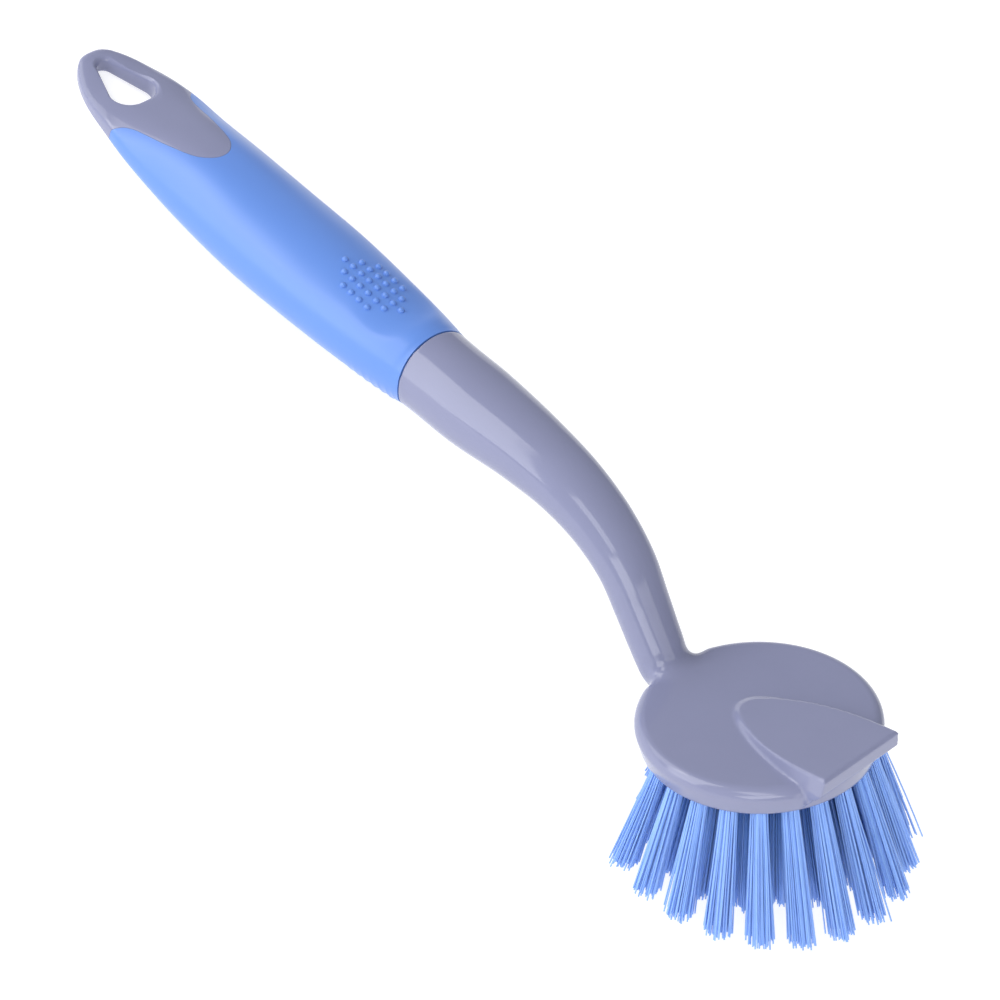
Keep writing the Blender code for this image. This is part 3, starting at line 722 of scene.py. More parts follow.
@dataclass
class HangHole:
    """Teardrop hole in the loop, rounded at both faces."""

    handle: Handle
    length: float = 18.8 * MM
    width: float = 12.8 * MM
    tip_radius: float = 2.4 * MM
    base_radius: float = 5 * MM
    from_tip: float = 5.1 * MM
    rim: float = 1.5 * MM
    rim_angle: float = math.radians(76)
    rim_steps: int = 7
    arc_steps: int = 20
    overrun: float = 1.5 * MM

    def outline(self, grow: float) -> Points:
        """Plan of the hole.

        Args:
            grow: How far the plan is grown.

        Returns:
            Points as distance from the loop's tip and sideways.
        """
        side = self.width / 2 - self.base_radius
        base = self.from_tip + self.length - self.base_radius
        corners = [
            (Vector((self.from_tip + self.tip_radius, 0)), self.tip_radius),
            (Vector((base, -side)), self.base_radius),
            (Vector((base, side)), self.base_radius),
        ]
        normals = []
        for (a, radius_a), (b, radius_b) in zip(corners, corners[1:] + corners[:1]):
            run = b - a
            lean = math.asin((radius_a - radius_b) / run.length)
            normals.append(math.atan2(run.y, run.x) - math.pi / 2 + lean)
        plan = []
        for i, (centre, radius) in enumerate(corners):
            turn = (normals[i] - normals[i - 1]) % (2 * math.pi)
            for angle in normals[i - 1] + np.linspace(0, turn, self.arc_steps):
                plan.append((
                    centre.x + math.cos(angle) * (radius + grow),
                    centre.y + math.sin(angle) * (radius + grow),
                ))
        return np.array(plan)

    def cutter(self) -> bpy.types.Mesh:
        """The hole's shape, run out past both faces of the loop.

        Returns:
            The closed cutter.
        """
        handle = self.handle
        angles = np.linspace(0, self.rim_angle, self.rim_steps + 1)
        steps = [(self.rim * (1 - math.sin(a)), self.rim * (1 - math.cos(a))) for a in angles]
        depth, grow = steps[-1]
        flare = grow + (depth + self.overrun) * math.tan(self.rim_angle)
        steps.append((-self.overrun, flare))
        plan = self.outline(0)
        centre, _, _ = handle.frames(plan[:, 0])
        middle = (centre - np.array(handle.loop_tip)) @ np.array(handle.loop_up)
        rings = []
        for face in (Face.LOWER, Face.UPPER):
            height = middle + handle.heights(plan[:, 0], plan[:, 1], face)
            rim = [self._ring(grow, height - face.value * depth) for depth, grow in steps]
            end = face.value * (np.max(face.value * height) + 2 * self.overrun)
            rim.append(self._ring(flare, np.full(len(plan), end)))
            rings += rim if face is Face.UPPER else list(reversed(rim))
        return loft("hang_hole", np.array(rings))

    def _ring(self, grow: float, height: Points) -> Points:
        """One ring of the cutter.

        Args:
            grow: How far the plan is grown.
            height: How far each point is lifted out of the loop's plane.

        Returns:
            The ring's points.
        """
        plan = self.outline(grow)
        points = np.array(self.handle.loop_tip) + plan[:, :1] * np.array(self.handle.loop_along)
        points[:, 1] += plan[:, 1]
        return points + height[:, None] * np.array(self.handle.loop_up)


@dataclass
class LoopAndCore:
    """Hanging loop, tongue and the core inside the sleeve, all of hard plastic.

    The core lies a sleeve's wall inside the handle's form, or a share of its half height where
    the handle is thin.
    """

    handle: Handle
    tongue: Tongue
    hole: HangHole
    finish: Finish
    sleeve_wall: float = 2.6 * MM
    wall_share: float = 0.8
    sleeve_start_share: float = 0.1
    lead_in: float = 2 * MM
    overrun: float = 5 * MM
    sides: int = 144
    ring_step: float = 0.7 * MM
    tip_rings: int = 36
    core_sides: int = 48
    core_steps: int = 30

    @property
    def sleeve_start(self) -> float:
        """Distance along the path where the sleeve's cover begins."""
        return self.sleeve_start_share * self.handle.seam

    def core(self, name: str, gap: float) -> bpy.types.Mesh:
        """The core, run past both ends of the sleeve.

        Args:
            name: The mesh's name.
            gap: How far the core is grown.

        Returns:
            The closed core.
        """
        s = np.linspace(
            self.sleeve_start - self.lead_in, self.handle.seam + self.overrun, self.core_steps
        )
        thin = np.min(self.handle.sections(s)[:, 3:5], axis=1, keepdims=True)
        wall = np.minimum(self.sleeve_wall, self.wall_share * thin)
        return loft(name, self.handle.rings(s, self.core_sides, wall - gap))

    def mesh(self) -> bpy.types.Mesh:
        """Cut the sleeve's room and the hole out of the handle's form.

        Returns:
            The loop, tongue and core as one closed mesh.
        """
        handle = self.handle
        tip = handle.at[len(handle.tip_places)]
        fine = np.linspace(0, tip, self.tip_rings)
        rest = np.arange(fine[-1] + self.ring_step, handle.seam + self.overrun, self.ring_step)
        whole = loft("loop_and_core", handle.rings(np.concatenate([fine, rest]), self.sides))
        room_s = np.linspace(self.sleeve_start, handle.seam + 2 * self.overrun, self.core_steps)
        room = combine(
            loft("room", handle.rings(room_s, self.core_sides, -self.overrun)),
            [("DIFFERENCE", self.core("core", 0)), ("DIFFERENCE", self.tongue.prism("tongue", 0))],
        )
        return combine(whole, [("DIFFERENCE", room), ("DIFFERENCE", self.hole.cutter())])


@dataclass
class GripSleeve:
    """Soft sleeve with thumb nubs on top and finger ribs below."""

    handle: Handle
    tongue: Tongue
    core: LoopAndCore
    finish: Finish
    seam_gap: float = 0.3 * MM
    tongue_gap: float = 0.08 * MM
    sides: int = 168
    ring_step: float = 0.6 * MM
    nub_rows: tuple = (4, 6, 8, 6, 4)
    nub_pitch: float = 3.1 * MM
    nub_gap: float = 3 * MM
    nub_radius: float = 0.88 * MM
    nub_height: float = 0.85 * MM
    nub_sink: float = 0.4 * MM
    nub_centre_from_seam: float = 24.85 * MM
    nub_sides: int = 16
    nub_steps: int = 6
    nub_cap: float = math.radians(80)
    rib_count: int = 7
    rib_pitch: float = 2.6 * MM
    rib_height: float = 0.6 * MM
    rib_end_margin: float = 1.6 * MM
    rib_growth: float = 0.5
    rib_onset: float = 2
    rib_close: float = 4
    rib_steps: int = 12

    def rib_bulge(self, s: Points, angle: Points) -> Points:
        """How far the underside stands out: scallops for the fingers, with ridges between.

        Args:
            s: Distances along the path.
            angle: Angles round the section, 0 at one side and a right angle on top.

        Returns:
            Heights to add, below zero on the underside.
        """
        last = self.handle.seam - self.rib_end_margin
        into = (s - last) / self.rib_pitch + self.rib_count
        inside = (into > 0) & (into < self.rib_count)
        rise = np.clip(into / self.rib_count, 0, 1) ** self.rib_growth
        wave = np.where(inside, (1 - np.abs(np.sin(np.pi * into))) * rise, 0)
        ends = smooth_step(into * self.rib_onset)
        ends = ends * smooth_step((self.rib_count - into) * self.rib_close)
        return -self.rib_height * wave * ends * np.sqrt(np.clip(-np.sin(angle), 0, 1))

    def ring_places(self) -> Points:
        """Places of the sleeve's rings, closer along the ribs.

        Returns:
            Distances along the path.
        """
        first, last = self.core.sleeve_start, self.handle.seam - self.seam_gap
        ribs = self.handle.seam - self.rib_end_margin - self.rib_count * self.rib_pitch
        plain = np.arange(first, ribs, self.ring_step)
        fine = np.arange(ribs, last, self.rib_pitch / self.rib_steps)
        return np.concatenate([plain, fine, [last]])

    def nubs(self) -> bpy.types.Mesh:
        """Low domes set in a square lattice on the top facet.

        Returns:
            All the domes, as one mesh.
        """
        middle = self.handle.seam - self.nub_centre_from_seam
        turns = np.linspace(0, 2 * math.pi, self.nub_sides, endpoint=False)
        solids = []
        for row, count in enumerate(self.nub_rows):
            y = (row - (len(self.nub_rows) - 1) / 2) * self.nub_gap
            for k in range(count):
                s = np.array([middle + (k - (count - 1) / 2) * self.nub_pitch])
                centre, along, up = (v[0] for v in self.handle.frames(s))
                height = self.handle.heights(s, np.array([y]), Face.UPPER)[0]
                slope = self.handle.heights(s, np.array([y + self.nub_radius]), Face.UPPER)[0]
                lean = math.atan2(slope - height, self.nub_radius)
                seat = centre + np.array([0, y, 0]) + up * height
                side = np.array([0, math.cos(lean), 0]) + up * math.sin(lean)
                normal = np.cross(along, side)
                normal *= np.sign(normal @ up)
                rings = [self._nub_ring(seat - normal * self.nub_sink, along, side, turns, 1)]
                for angle in np.linspace(0, self.nub_cap, self.nub_steps):
                    lifted = seat + normal * self.nub_height * math.sin(angle)
                    rings.append(self._nub_ring(lifted, along, side, turns, math.cos(angle)))
                solids.append(np.array(rings))
        return lofts("thumb_nubs", solids)

    def _nub_ring(
        self, centre: Points, along: Points, side: Points, turns: Points, share: float
    ) -> Points:
        """One level of a nub.

        Args:
            centre: Its middle.
            along: Direction towards the head.
            side: Direction across, along the facet.
            turns: Angles of its points.
            share: Its share of the nub's radius.

        Returns:
            The level's points.
        """
        radius = share * self.nub_radius
        return centre + radius * (
            np.cos(turns)[:, None] * along + np.sin(turns)[:, None] * side
        )

    def mesh(self) -> bpy.types.Mesh:
        """Hollow the sleeve and cut the tongue's place out of it.

        Returns:
            The sleeve as one closed mesh.
        """
        whole = loft("sleeve", self.handle.rings(self.ring_places(), self.sides, 0, self.rib_bulge))
        return combine(whole, [
            ("UNION", self.nubs()),
            ("DIFFERENCE", self.core.core("core_with_gap", self.seam_gap)),
            ("DIFFERENCE", self.tongue.prism("tongue_with_gap", self.tongue_gap)),
        ])


# Head


@dataclass
class Disc:
    """Round head with a softly rounded upper rim and blind holes below."""

    radius: float = 30 * MM
    thickness: float = 7.5 * MM
    edge_radius: float = 2.8 * MM
    lower_edge: float = 0.5 * MM
    taper: float = 1 * MM
    segments: int = 200
    face_steps: int = 12
    edge_steps: int = 12
    wall_steps: int = 9
    lower_steps: int = 5
    hole_radius: float = 2.2 * MM
    hole_depth: float = 5 * MM
    hole_sides: int = 20

    def profile(self) -> Points:
        """Outline of the disc.

        Returns:
            Radius and height of its points, from the top to the bottom.
        """
        rows = [(self.radius * k / self.face_steps, 0.0) for k in range(1, self.face_steps - 1)]
        for angle in np.linspace(math.pi / 2, 0, self.edge_steps + 1):
            rows.append((
                self.radius - self.edge_radius * (1 - math.cos(angle)),
                -self.edge_radius * (1 - math.sin(angle)),
            ))
        foot = self.radius - self.taper
        wall = self.thickness - self.edge_radius - self.lower_edge
        for k in range(1, self.wall_steps):
            share = k / self.wall_steps
            rows.append((self.radius - share * self.taper, -self.edge_radius - share * wall))
        for angle in np.linspace(0, math.pi / 2, self.lower_steps):
            rows.append((
                foot - self.lower_edge * (1 - math.cos(angle)),
                -self.thickness + self.lower_edge * (1 - math.sin(angle)),
            ))
        for k in range(self.face_steps - 1, 0, -1):
            rows.append((foot * k / self.face_steps, -self.thickness))
        return np.array(rows)

    def mesh(self, holes: Sequence[tuple[float, float]]) -> bpy.types.Mesh:
        """Turn the profile and cut the holes.

        Args:
            holes: Middle of each hole, in plan.

        Returns:
            The disc as one closed mesh.
        """
        turns = np.linspace(0, 2 * math.pi, self.segments, endpoint=False)
        rings = np.array([
            np.stack([r * np.cos(turns), r * np.sin(turns), np.full(len(turns), z)], 1)
            for r, z in self.profile()
        ])
        turns = np.linspace(0, 2 * math.pi, self.hole_sides, endpoint=False)
        cuts = []
        for x, y in holes:
            plan = np.stack([
                x + self.hole_radius * np.cos(turns), y + self.hole_radius * np.sin(turns)
            ], 1)
            ends = (-self.thickness + self.hole_depth, -self.thickness - self.hole_depth)
            cuts.append(np.array([np.insert(plan, 2, z, axis=1) for z in ends]))
        return combine(loft("disc", rings), [("DIFFERENCE", lofts("holes", cuts))])


@dataclass
class Scraper:
    """Ramp that rises from a rounded apex to a straight blade across the front of the head.

    The outline is drawn in by the shoulder at the ramp's edges, which are rounded, and the front
    leans out towards its foot. Below the overhang an undercut, as its drop over its run, goes
    back to the disc's wall, and the root there is a little narrower.
    """

    disc: Disc
    length: float = 37.9 * MM
    width: float = 27.2 * MM
    height: float = 4.8 * MM
    apex_height: float = 0.5 * MM
    overhang: float = 2.1 * MM
    shoulder: float = 1.5 * MM
    edge: float = 0.9 * MM
    front_lean: float = 0.6 * MM
    undercut: float = 1.05
    root_share: float = 0.97
    outline_shares: tuple = (
        (0, 0), (0.008, 0.11), (0.03, 0.22), (0.07, 0.33), (0.13, 0.45), (0.22, 0.58),
        (0.36, 0.74), (0.53, 0.87), (0.7, 0.95), (0.86, 0.985), (1, 1),
    )
    curve_steps: int = 6
    front_steps: int = 30
    layers: int = 9

    def __post_init__(self) -> None:
        """Work out the plan's outline."""
        half = spline_through(self.outline_shares, self.curve_steps)[::-1]
        half = half * (1, self.width / 2)
        front = np.linspace(-self.width / 2, self.width / 2, self.front_steps)[1:-1]
        across = np.stack([np.ones(len(front)), front], 1)
        other = half[:-1][::-1] * (1, -1)
        self.plan = np.concatenate([half, other, across])
        self.apex = self.disc.radius + self.overhang - self.length

    def rise(self, along: Points) -> Points:
        """Height of the ramp's plane at a share of its length from the apex."""
        return self.apex_height + along * (self.height - self.apex_height)

    def _layer(self, inset: float, back: float, sink: float) -> Points:
        """One level of the scraper.

        Args:
            inset: How far the outline is drawn in at the flanks, where the ramp is highest.
            back: How far it is drawn in at the front.
            sink: How far it lies under the ramp's plane, where the ramp is highest.

        Returns:
            The level's points.
        """
        along, y = self.plan.T
        size = self.rise(along) / self.height
        moved = along + (inset * size * (1 - along) - back * along) / self.length
        wide = y * (1 - inset * size / (self.width / 2))
        return np.stack([self.apex + moved * self.length, wide, (self.height - sink) * size], 1)

    def mesh(self) -> bpy.types.Mesh:
        """Stack the layers from the ramp down into the disc.

        Returns:
            The scraper as one closed mesh.
        """
        rings = []
        for turn in np.linspace(0, math.pi / 2, self.layers):
            out, down = self.edge * math.sin(turn), self.edge * (1 - math.cos(turn))
            rings.append(self._layer(self.shoulder - out, self.edge - self.front_lean - out, down))
        rings.append(self._layer(0, 0, self.height))
        along, y = self.plan.T
        y = y * self.root_share
        root = np.sqrt((self.disc.radius - self.disc.taper) ** 2 - y**2)
        x = self.apex + along * (root - self.apex)
        depth = -self.undercut * np.hypot(x - rings[-1][:, 0], y - rings[-1][:, 1])
        rings.append(np.stack([x, y, np.minimum(depth, -self.edge)], 1))
        return loft("scraper", np.array(rings))


@dataclass
class NeckAndHead:
    """Bare neck, round head and scraper, grown together with soft fillets."""

    handle: Handle
    disc: Disc
    scraper: Scraper
    voxel: float = 0.34 * MM
    neck_fillet: float = 5.5 * MM
    scraper_fillet: float = 1.5 * MM
    neck_rounds: int = 220
    scraper_rounds: int = 18
    skin_rounds: int = 3
    skin_weight: float = 0.5
    sides: int = 176
    ring_step: float = 0.5 * MM

    def mesh(self, holes: Sequence[tuple[float, float]]) -> bpy.types.Mesh:
        """Grow the three shapes into one skin.

        Args:
            holes: Middle of each tuft's hole, in plan.

        Returns:
            One closed mesh.
        """
        s = np.arange(self.handle.seam, self.handle.at[-1], self.ring_step)
        neck = loft("neck", self.handle.rings(np.append(s, self.handle.at[-1]), self.sides))
        parts = [neck, self.disc.mesh(holes), self.scraper.mesh()]
        trees = [self._tree(mesh) for mesh in parts]
        skin = self._remeshed(parts)
        points = self._seated(skin, trees)
        edges = np.zeros(len(skin.edges) * 2, np.int32)
        skin.edges.foreach_get("vertices", edges)
        edges = edges.reshape(-1, 2)
        everywhere = np.full(len(points), self.skin_weight)
        points = relaxed(points, edges, everywhere, self.skin_rounds)
        joints = (
            (neck, trees[0], trees[1], self.neck_fillet, self.neck_rounds),
            (parts[2], trees[2], trees[1], self.scraper_fillet, self.scraper_rounds),
        )
        for mesh, tree, other, reach, rounds in joints:
            weight = self._joint_weight(points, mesh, tree, other, reach)
            points = relaxed(points, edges, weight, rounds)
        skin.vertices.foreach_set("co", points.ravel())
        for mesh in parts:
            bpy.data.meshes.remove(mesh)
        return skin

    def _tree(self, mesh: bpy.types.Mesh) -> BVHTree:
        """Search tree of a mesh's faces."""
        points = [v.co.copy() for v in mesh.vertices]
        return BVHTree.FromPolygons(points, [tuple(p.vertices) for p in mesh.polygons])

    def _remeshed(self, parts: Sequence[bpy.types.Mesh]) -> bpy.types.Mesh:
        """Cover overlapping closed shapes with one even skin.

        Args:
            parts: The shapes.

        Returns:
            The skin.
        """
        whole = joined("neck_and_head", parts)
        obj = linked(whole.name, whole)
        modifier = obj.modifiers.new("skin", "REMESH")
        modifier.mode = "VOXEL"
        modifier.voxel_size = self.voxel
        return evaluated(obj)

    def _seated(self, skin: bpy.types.Mesh, trees: Sequence[BVHTree]) -> Points:
        """Move the skin's points onto the nearest of the shapes that it covers.

        Args:
            skin: The skin.
            trees: Search trees of the shapes.

        Returns:
            The moved points.
        """
        points = np.zeros((len(skin.vertices), 3))
        for i, vert in enumerate(skin.vertices):
            found = [tree.find_nearest(vert.co, 2 * self.voxel) for tree in trees]
            found = [hit for hit in found if hit[0] is not None]
            points[i] = min(found, key=lambda hit: hit[3])[0] if found else vert.co
        return points

    def _joint_weight(
        self, points: Points, mesh: bpy.types.Mesh, tree: BVHTree, other: BVHTree, reach: float
    ) -> Points:
        """How near points are to the line where two shapes meet.

        Args:
            points: The points.
            mesh: The first shape.
            tree: Its search tree.
            other: The second shape's search tree.
            reach: Distance from the line at which the weight is 0.

        Returns:
            A weight for each point, 1 on the line.
        """
        crossing = {a for a, _ in tree.overlap(other)}
        marks = KDTree(len(crossing))
        for k, a in enumerate(crossing):
            marks.insert(mesh.polygons[a].center, k)
        marks.balance()
        away = np.array([marks.find(p)[2] for p in points])
        return smooth_step(1 - away / reach)


def relaxed(points: Points, edges: Points, weight: Points, rounds: int) -> Points:
    """Draw points towards the middle of their neighbours.

    Args:
        points: The points.
        edges: Pairs of neighbours.
        weight: How much each point may move, from 0 to 1.
        rounds: How often it is done.

    Returns:
        The moved points.
    """
    degree = np.bincount(edges.ravel(), minlength=len(points))[:, None]
    moving = weight[:, None] * RELAX_PULL
    for _ in range(rounds):
        total = np.zeros_like(points)
        for axis in range(3):
            column = points[:, axis]
            total[:, axis] = np.bincount(edges[:, 0], column[edges[:, 1]], len(points))
            total[:, axis] += np.bincount(edges[:, 1], column[edges[:, 0]], len(points))
        points = points + moving * (total / degree - points)
    return points


# Bristles


@dataclass(frozen=True)
class TuftRing:
    """One ring of tufts.

    It has a count, an arc round the head that a turn moves aside, a radius at the holes and at the
    tips, the spread of each tuft's end, and how much painted shade darkens the strands towards
    their roots, in place of the shade under the head and between the tufts.
    """

    name: str
    count: int
    arc: float
    turn: float
    radius: float
    tip_radius: float
    tip_spread: float
    # painted shade: how far each strand's tone is lowered at its root, fading out towards the tip
    depth: float

    def angles(self) -> list[float]:
        """Angles of the tufts round the head, in even steps on either side of the turn.

        Returns:
            One angle a tuft.
        """
        full = math.isclose(self.arc, 2 * math.pi)
        step = self.arc / (self.count if full else max(self.count - 1, 1))
        return [self.turn + step * (k - (self.count - 1) / 2) for k in range(self.count)]


@dataclass
class BristleField:
    """All the tufts: bundles of straight nylon filaments that fan out from their holes.

    A row of the rings' shares is name, count, arc and turn in degrees, the painted shade at the
    roots, which darkens the strands there in place of the shade under the head, then the radius
    at the holes, the radius at the tips and the spread as shares of the disc's radius. A row of
    the leans is a tuft's ring and number, and how far its tip is bent outwards and to the side,
    in millimetres.
    """

    disc: Disc
    finish: Finish
    resting: Matrix
    filaments: int = 92
    filament_radius: float = 0.2 * MM
    root_radius: float = 1.95 * MM
    trim_depth: float = 33.8 * MM
    trim_slope: float = 0.198
    trim_play: tuple = (-0.9 * MM, 0.54 * MM)
    turn_play: float = 0.5
    spread_play: tuple = (0.8, 1.1)
    stray_share: float = 0.05
    stray_play: tuple = (1.1, 1.5)
    sway: float = 0.5 * MM
    root_height: float = 1.5 * MM
    sides: int = 6
    steps: int = 5
    floor_clearance: float = 0.05 * MM
    # the fifth value is painted shade: the middle, inner and centre tufts are darkened towards
    # their roots in place of the shade under the head
    ring_shares: tuple = (
        ("outer", 15, 219, 0, 0, 0.867, 1.23, 0.12),
        ("middle", 17, 360, 9, 0.75, 0.62, 0.91, 0.11),
        ("inner", 9, 360, 0, 0.8, 0.37, 0.567, 0.1),
        ("centre", 1, 0, 0, 0.8, 0, 0, 0.1),
    )
    leans: tuple = (
        ("outer", 10, -1, 0), ("outer", 11, -2.6, 0), ("outer", 12, -3, 0), ("outer", 13, -3, 0),
        ("outer", 14, -2, 0), ("middle", 7, -3.5, -1), ("middle", 6, -0.6, 0),
    )
    tone: float = 0.72
    tone_spread: float = 0.08
    tone_cap: float = 0.85

    def rings(self) -> list[TuftRing]:
        """Work out the rings of tufts.

        Returns:
            The rings, in real sizes.
        """
        return [
            TuftRing(
                name, count, math.radians(arc), math.radians(turn),
                *(share * self.disc.radius for share in shares), depth,
            )
            for name, count, arc, turn, depth, *shares in self.ring_shares
        ]

    def places(self) -> Iterator[tuple[TuftRing, int, float]]:
        """Go round all the tufts.

        Yields:
            Each tuft's ring, its number in the ring, and its angle round the head.
        """
        for ring in self.rings():
            for number, angle in enumerate(ring.angles(), 1):
                yield ring, number, angle

    def holes(self) -> list[tuple[float, float]]:
        """Work out where the holes are.

        Returns:
            Middle of each tuft's hole, in plan.
        """
        return [
            (ring.radius * math.cos(angle), ring.radius * math.sin(angle))
            for ring, _, angle in self.places()
        ]

    def lean(self, name: str, number: int) -> tuple[float, float]:
        """How far a tuft's tip is bent from its even place.

        Args:
            name: The tuft's ring.
            number: Its number in the ring.

        Returns:
            Distances outwards and to the side.
        """
        for ring, tuft, out, side in self.leans:
            if (ring, tuft) == (name, number):
                return out * MM, side * MM
        return 0.0, 0.0

    def tuft(
        self, ring: TuftRing, number: int, angle: float, draw: random.Random
    ) -> bpy.types.Mesh:
        """Make one tuft.

        Args:
            ring: The tuft's ring.
            number: Its number in the ring.
            angle: Its angle round the head.
            draw: Source of the small irregularities.

        Returns:
            The filaments as one mesh.
        """
        golden = math.pi * (3 - math.sqrt(5))
        out = Vector((math.cos(angle), math.sin(angle), 0))
        side = Vector((-out.y, out.x, 0))
        bent_out, bent_side = self.lean(ring.name, number)
        middle = out * (ring.tip_radius + bent_out) + side * bent_side
        points, faces, tones_and_root_shade = [], [], []
        for k in range(self.filaments):
            share = math.sqrt((k + 0.5) / self.filaments)
            turn = k * golden + draw.uniform(-self.turn_play, self.turn_play)
            spread = ring.tip_spread * share * draw.uniform(*self.spread_play)
            if draw.random() < self.stray_share:
                spread *= draw.uniform(*self.stray_play)
            fan = out * math.cos(turn) + side * math.sin(turn)
            root = out * ring.radius + fan * share * self.root_radius
            root.z = self.root_height - self.disc.thickness
            tip = middle + fan * spread
            tip.z = draw.uniform(*self.trim_play) - self.trim_depth - self.trim_slope * tip.x
            bend = Vector((draw.gauss(0, 1), draw.gauss(0, 1), 0)) * self.sway
            line = [
                root.lerp(tip, t) + bend * (t * (1 - t))
                for t in (i / self.steps for i in range(self.steps + 1))
            ]
            line = self._above_floor(line)
            tone = draw.gauss(self.tone, self.tone_spread)
            self._add_filament(line, points, faces, draw.uniform(0, math.pi))
            for i in range(len(line)):
                # painted shade: strands of the inner rings get darker towards the root, for the
                # shade under the head and between the tufts
                painted_root_shade = ring.depth * (1 - i / self.steps)
                tones_and_root_shade += [min(max(tone - painted_root_shade, 0), self.tone_cap)] * self.sides
        mesh = mesh_from_arrays("tuft", np.array(points), faces)
        layer = mesh.attributes.new(self.finish.strand_attribute, "FLOAT", "POINT")
        layer.data.foreach_set("value", tones_and_root_shade)
        return mesh

    def _above_floor(self, line: list[Vector]) -> list[Vector]:
        """Bend a filament along the surface that it rests on.

        Args:
            line: Points of its middle line.

        Returns:
            The bent line.
        """
        kept = []
        low = self.floor_clearance + self.filament_radius
        for point in line:
            world = self.resting @ point
            if world.z < low:
                world.z = low
                point = self.resting.inverted() @ world
            kept.append(point)
        return kept

    def _add_filament(self, line: list[Vector], points: list, faces: list, turned: float) -> None:
        """Add one thin round rod.

        Args:
            line: Points of its middle line.
            points: The tuft's points, which its own are added to.
            faces: The tuft's faces, which its own are added to.
            turned: How far its sides are turned round the line.
        """
        first = len(points)
        along = (line[-1] - line[0]).normalized()
        side = along.orthogonal().normalized()
        other = along.cross(side)
        for centre in line:
            for k in range(self.sides):
                angle = turned + 2 * math.pi * k / self.sides
                offset = side * math.cos(angle) + other * math.sin(angle)
                points.append(centre + offset * self.filament_radius)
        for i in range(len(line) - 1):
            low = first + i * self.sides
            for k in range(self.sides):
                j = (k + 1) % self.sides
                faces.append((low + k, low + j, low + self.sides + j, low + self.sides + k))
        faces.append([first + k for k in reversed(range(self.sides))])
        last = first + (len(line) - 1) * self.sides
        faces.append([last + k for k in range(self.sides)])


# Studio


@dataclass(frozen=True)
class Softbox:
    """A rectangular soft light: its place in degrees, its size, and how bright its cloth is."""

    name: str
    azimuth: float
    elevation: float
    distance: float
    width: float
    height: float
    brightness: float
    roll: float = 0

    def place(self, target: Vector) -> bpy.types.Object:
        """Set the light up, aimed at a point.

        Args:
            target: The point that it lights.

        Returns:
            The light.
        """
        data = bpy.data.lights.new(self.name, "AREA")
        data.shape = "RECTANGLE"
        data.size = self.width
        data.size_y = self.height
        data.energy = self.brightness * math.pi * self.width * self.height
        light = linked(self.name, data)
        turn, lift = math.radians(self.azimuth), math.radians(self.elevation)
        away = Vector((
            math.cos(turn) * math.cos(lift), math.sin(turn) * math.cos(lift), math.sin(lift)
        ))
        light.location = target + away * self.distance
        aim = away.to_track_quat("Z", "Y").to_matrix()
        light.rotation_euler = (aim @ Matrix.Rotation(math.radians(self.roll), 3, "Z")).to_euler()
        light.visible_camera = False
        return light


@dataclass
class Studio:
    """Camera, floor and lights.

    The camera's place is in units of the head's radius and in the frame of the head: how far
    away it stands, and how far the view is moved aside and upward from the head's middle.
    """

    resting: Matrix
    unit: float = 30 * MM
    azimuth: float = math.radians(48.1)
    elevation: float = math.radians(34.85)
    roll: float = math.radians(-3.09)
    aside: float = 2.067
    upward: float = -1.698
    distance: float = 28.39
    lens: float = 128.08
    sensor: float = 36
    clip_start: float = 0.05
    lit_point: tuple = (0.02, 0, 0.03)
    floor_size: float = 3
    floor_glow: float = 0.68
    air: tuple = (0.93, 0.95, 1.0)
    air_strength: float = 0.44
    boxes: tuple = (
        Softbox("left_softbox", -135, 26, 0.9, 1.1, 0.5, 3.2, roll=-48),
        Softbox("back_softbox", -168, 20, 1.0, 0.55, 0.55, 1.9),
        Softbox("front_softbox", -50, 28, 1.0, 0.6, 0.45, 3.3, roll=48),
        Softbox("high_softbox", -75, 56, 1.0, 0.55, 0.3, 3.0, roll=-20),
        Softbox("right_fill", 4, 20, 1.1, 0.8, 0.7, 1.5),
    )

    def camera(self) -> bpy.types.Object:
        """Set the camera up where the photograph was taken from.

        Returns:
            The camera.
        """
        around, lift = self.azimuth, self.elevation
        back = Vector((
            math.sin(around) * math.cos(lift), -math.cos(around) * math.cos(lift), math.sin(lift)
        ))
        level = (-back).cross(Vector((0, 0, 1))).normalized()
        over = level.cross(-back)
        right = level * math.cos(self.roll) + over * math.sin(self.roll)
        above = over * math.cos(self.roll) - level * math.sin(self.roll)
        place = (back * self.distance - right * self.aside - above * self.upward) * self.unit
        data = bpy.data.cameras.new("camera")
        data.sensor_width = self.sensor
        data.lens = self.lens
        data.clip_start = self.clip_start
        camera = linked("camera", data)
        turn = Matrix((right, above, back)).transposed().to_4x4()
        camera.matrix_world = self.resting @ Matrix.Translation(place) @ turn
        bpy.context.scene.camera = camera
        return camera

    def floor(self) -> bpy.types.Object:
        """Lay the pale floor.

        Returns:
            The floor, which is not attached to the brush.
        """
        half = self.floor_size / 2
        corners = np.array([(-half, -half, 0), (half, -half, 0), (half, half, 0), (-half, half, 0)])
        mesh = mesh_from_arrays("floor", corners, [(0, 1, 2, 3)])
        material = FLOOR_PAPER.build()
        shader = material.node_tree.nodes["Principled BSDF"]
        shader.inputs["Emission Color"].default_value = (1, 1, 1, 1)
        shader.inputs["Emission Strength"].default_value = self.floor_glow
        mesh.materials.append(material)
        floor = linked("floor", mesh)
        return floor

    def light(self) -> None:
        """Set up the soft lights and the pale surroundings."""
        world = bpy.data.worlds.new("studio_air")
        world.use_nodes = True
        background = world.node_tree.nodes["Background"]
        background.inputs["Color"].default_value = (*self.air, 1)
        background.inputs["Strength"].default_value = self.air_strength
        bpy.context.scene.world = world
        for box in self.boxes:
            box.place(Vector(self.lit_point))
        bpy.context.scene.view_settings.view_transform = "Standard"


# Whole brush


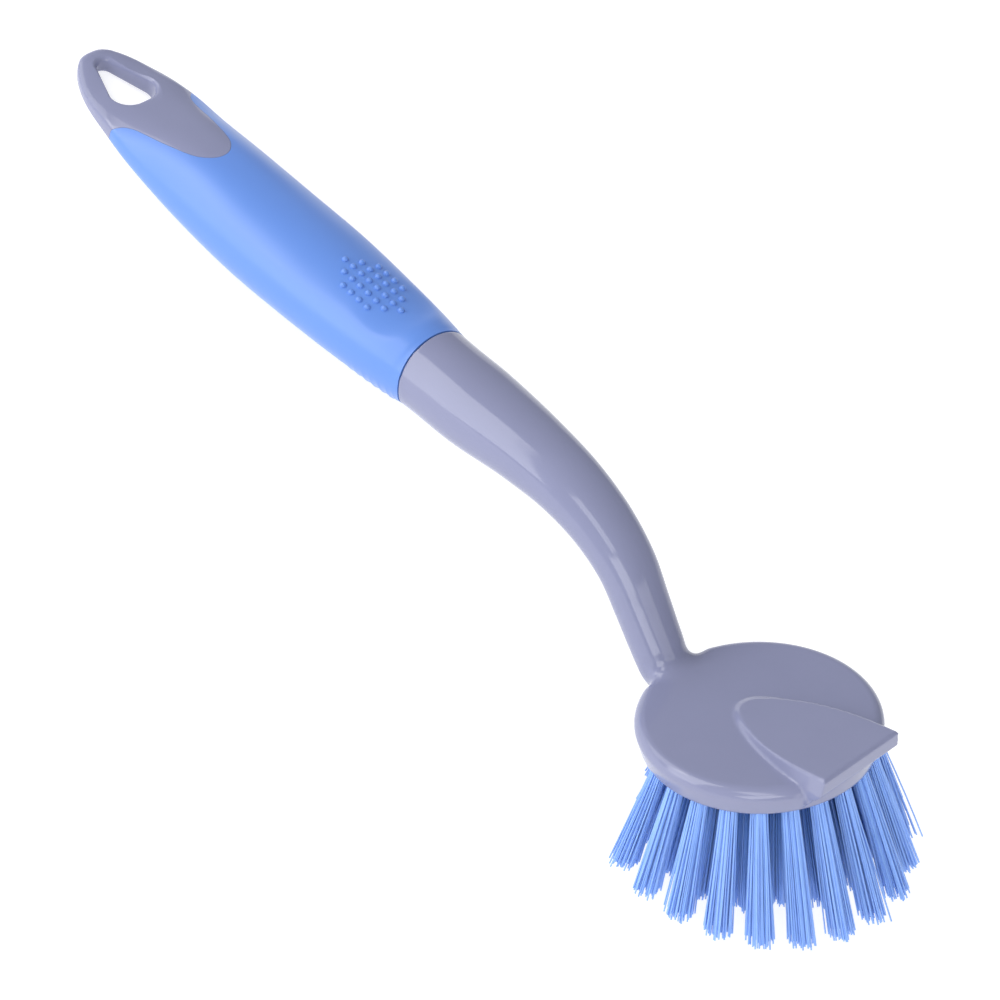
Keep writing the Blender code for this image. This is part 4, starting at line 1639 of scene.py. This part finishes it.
@dataclass
class DishBrush:
    """The whole brush, laid down on the floor."""

    tilt: float = math.radians(28.819982)
    place: tuple = (0.100894, 0, 0.039378)
    shade_angle: float = math.radians(38)

    def __post_init__(self) -> None:
        """Put the sub-assemblies together."""
        self.resting = Matrix.Translation(self.place) @ Matrix.Rotation(-self.tilt, 4, "Y")
        self.handle = Handle()
        self.tongue = Tongue(self.handle)
        self.loop = LoopAndCore(self.handle, self.tongue, HangHole(self.handle), HARD_GREY)
        self.sleeve = GripSleeve(self.handle, self.tongue, self.loop, SOFT_BLUE)
        self.disc = Disc()
        self.head = NeckAndHead(self.handle, self.disc, Scraper(self.disc))
        self.bristles = BristleField(self.disc, BRISTLE_BLUE, self.resting)

    def add(
        self,
        name: str,
        mesh: bpy.types.Mesh,
        material: bpy.types.Material,
        slot: Slot,
        node: str,
    ) -> bpy.types.Object:
        """Add a piece of the brush to the scene.

        Args:
            name: The piece's name.
            mesh: Its mesh, in the frame of the head.
            material: Its finish.
            slot: The record's slot for it; not used.
            node: The solid that it stands for.

        Returns:
            The piece.
        """
        mesh.transform(self.resting)
        mesh.materials.clear()
        mesh.materials.append(material)
        mesh.shade_smooth()
        mesh.set_sharp_from_angle(angle=self.shade_angle)
        piece = linked(name, mesh)
        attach(piece, BODY)
        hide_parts(node)
        LOG.info("%s: %d faces", name, len(mesh.polygons))
        return piece

    def build(self) -> None:
        """Make every piece."""
        finishes = (self.loop.finish, self.sleeve.finish, self.bristles.finish)
        grey, blue, nylon = (finish.build() for finish in finishes)
        self.add("loop_and_core", self.loop.mesh(), grey, Slot.HARD, "handle_frame")
        head = self.head.mesh(self.bristles.holes())
        self.add("neck_and_head", head, grey, Slot.HARD, "handle_frame")
        self.add("soft_sleeve", self.sleeve.mesh(), blue, Slot.SOFT, "grip_sleeve")
        draw = random.Random(SEED)
        for ring, number, angle in self.bristles.places():
            label = f"{ring.name}_{number:02d}"
            tuft = self.bristles.tuft(ring, number, angle, draw)
            self.add(f"filaments_{label}", tuft, nylon, Slot.BRISTLE, f"tuft_{label}")


def main() -> None:
    """Build the brush and its studio."""
    logging.basicConfig(level=logging.INFO, format="%(name)s: %(message)s")
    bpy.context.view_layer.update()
    brush = DishBrush()
    studio = Studio(brush.resting)
    studio.camera()
    studio.floor()
    studio.light()
    brush.build()


if __name__ == "__main__":
    main()
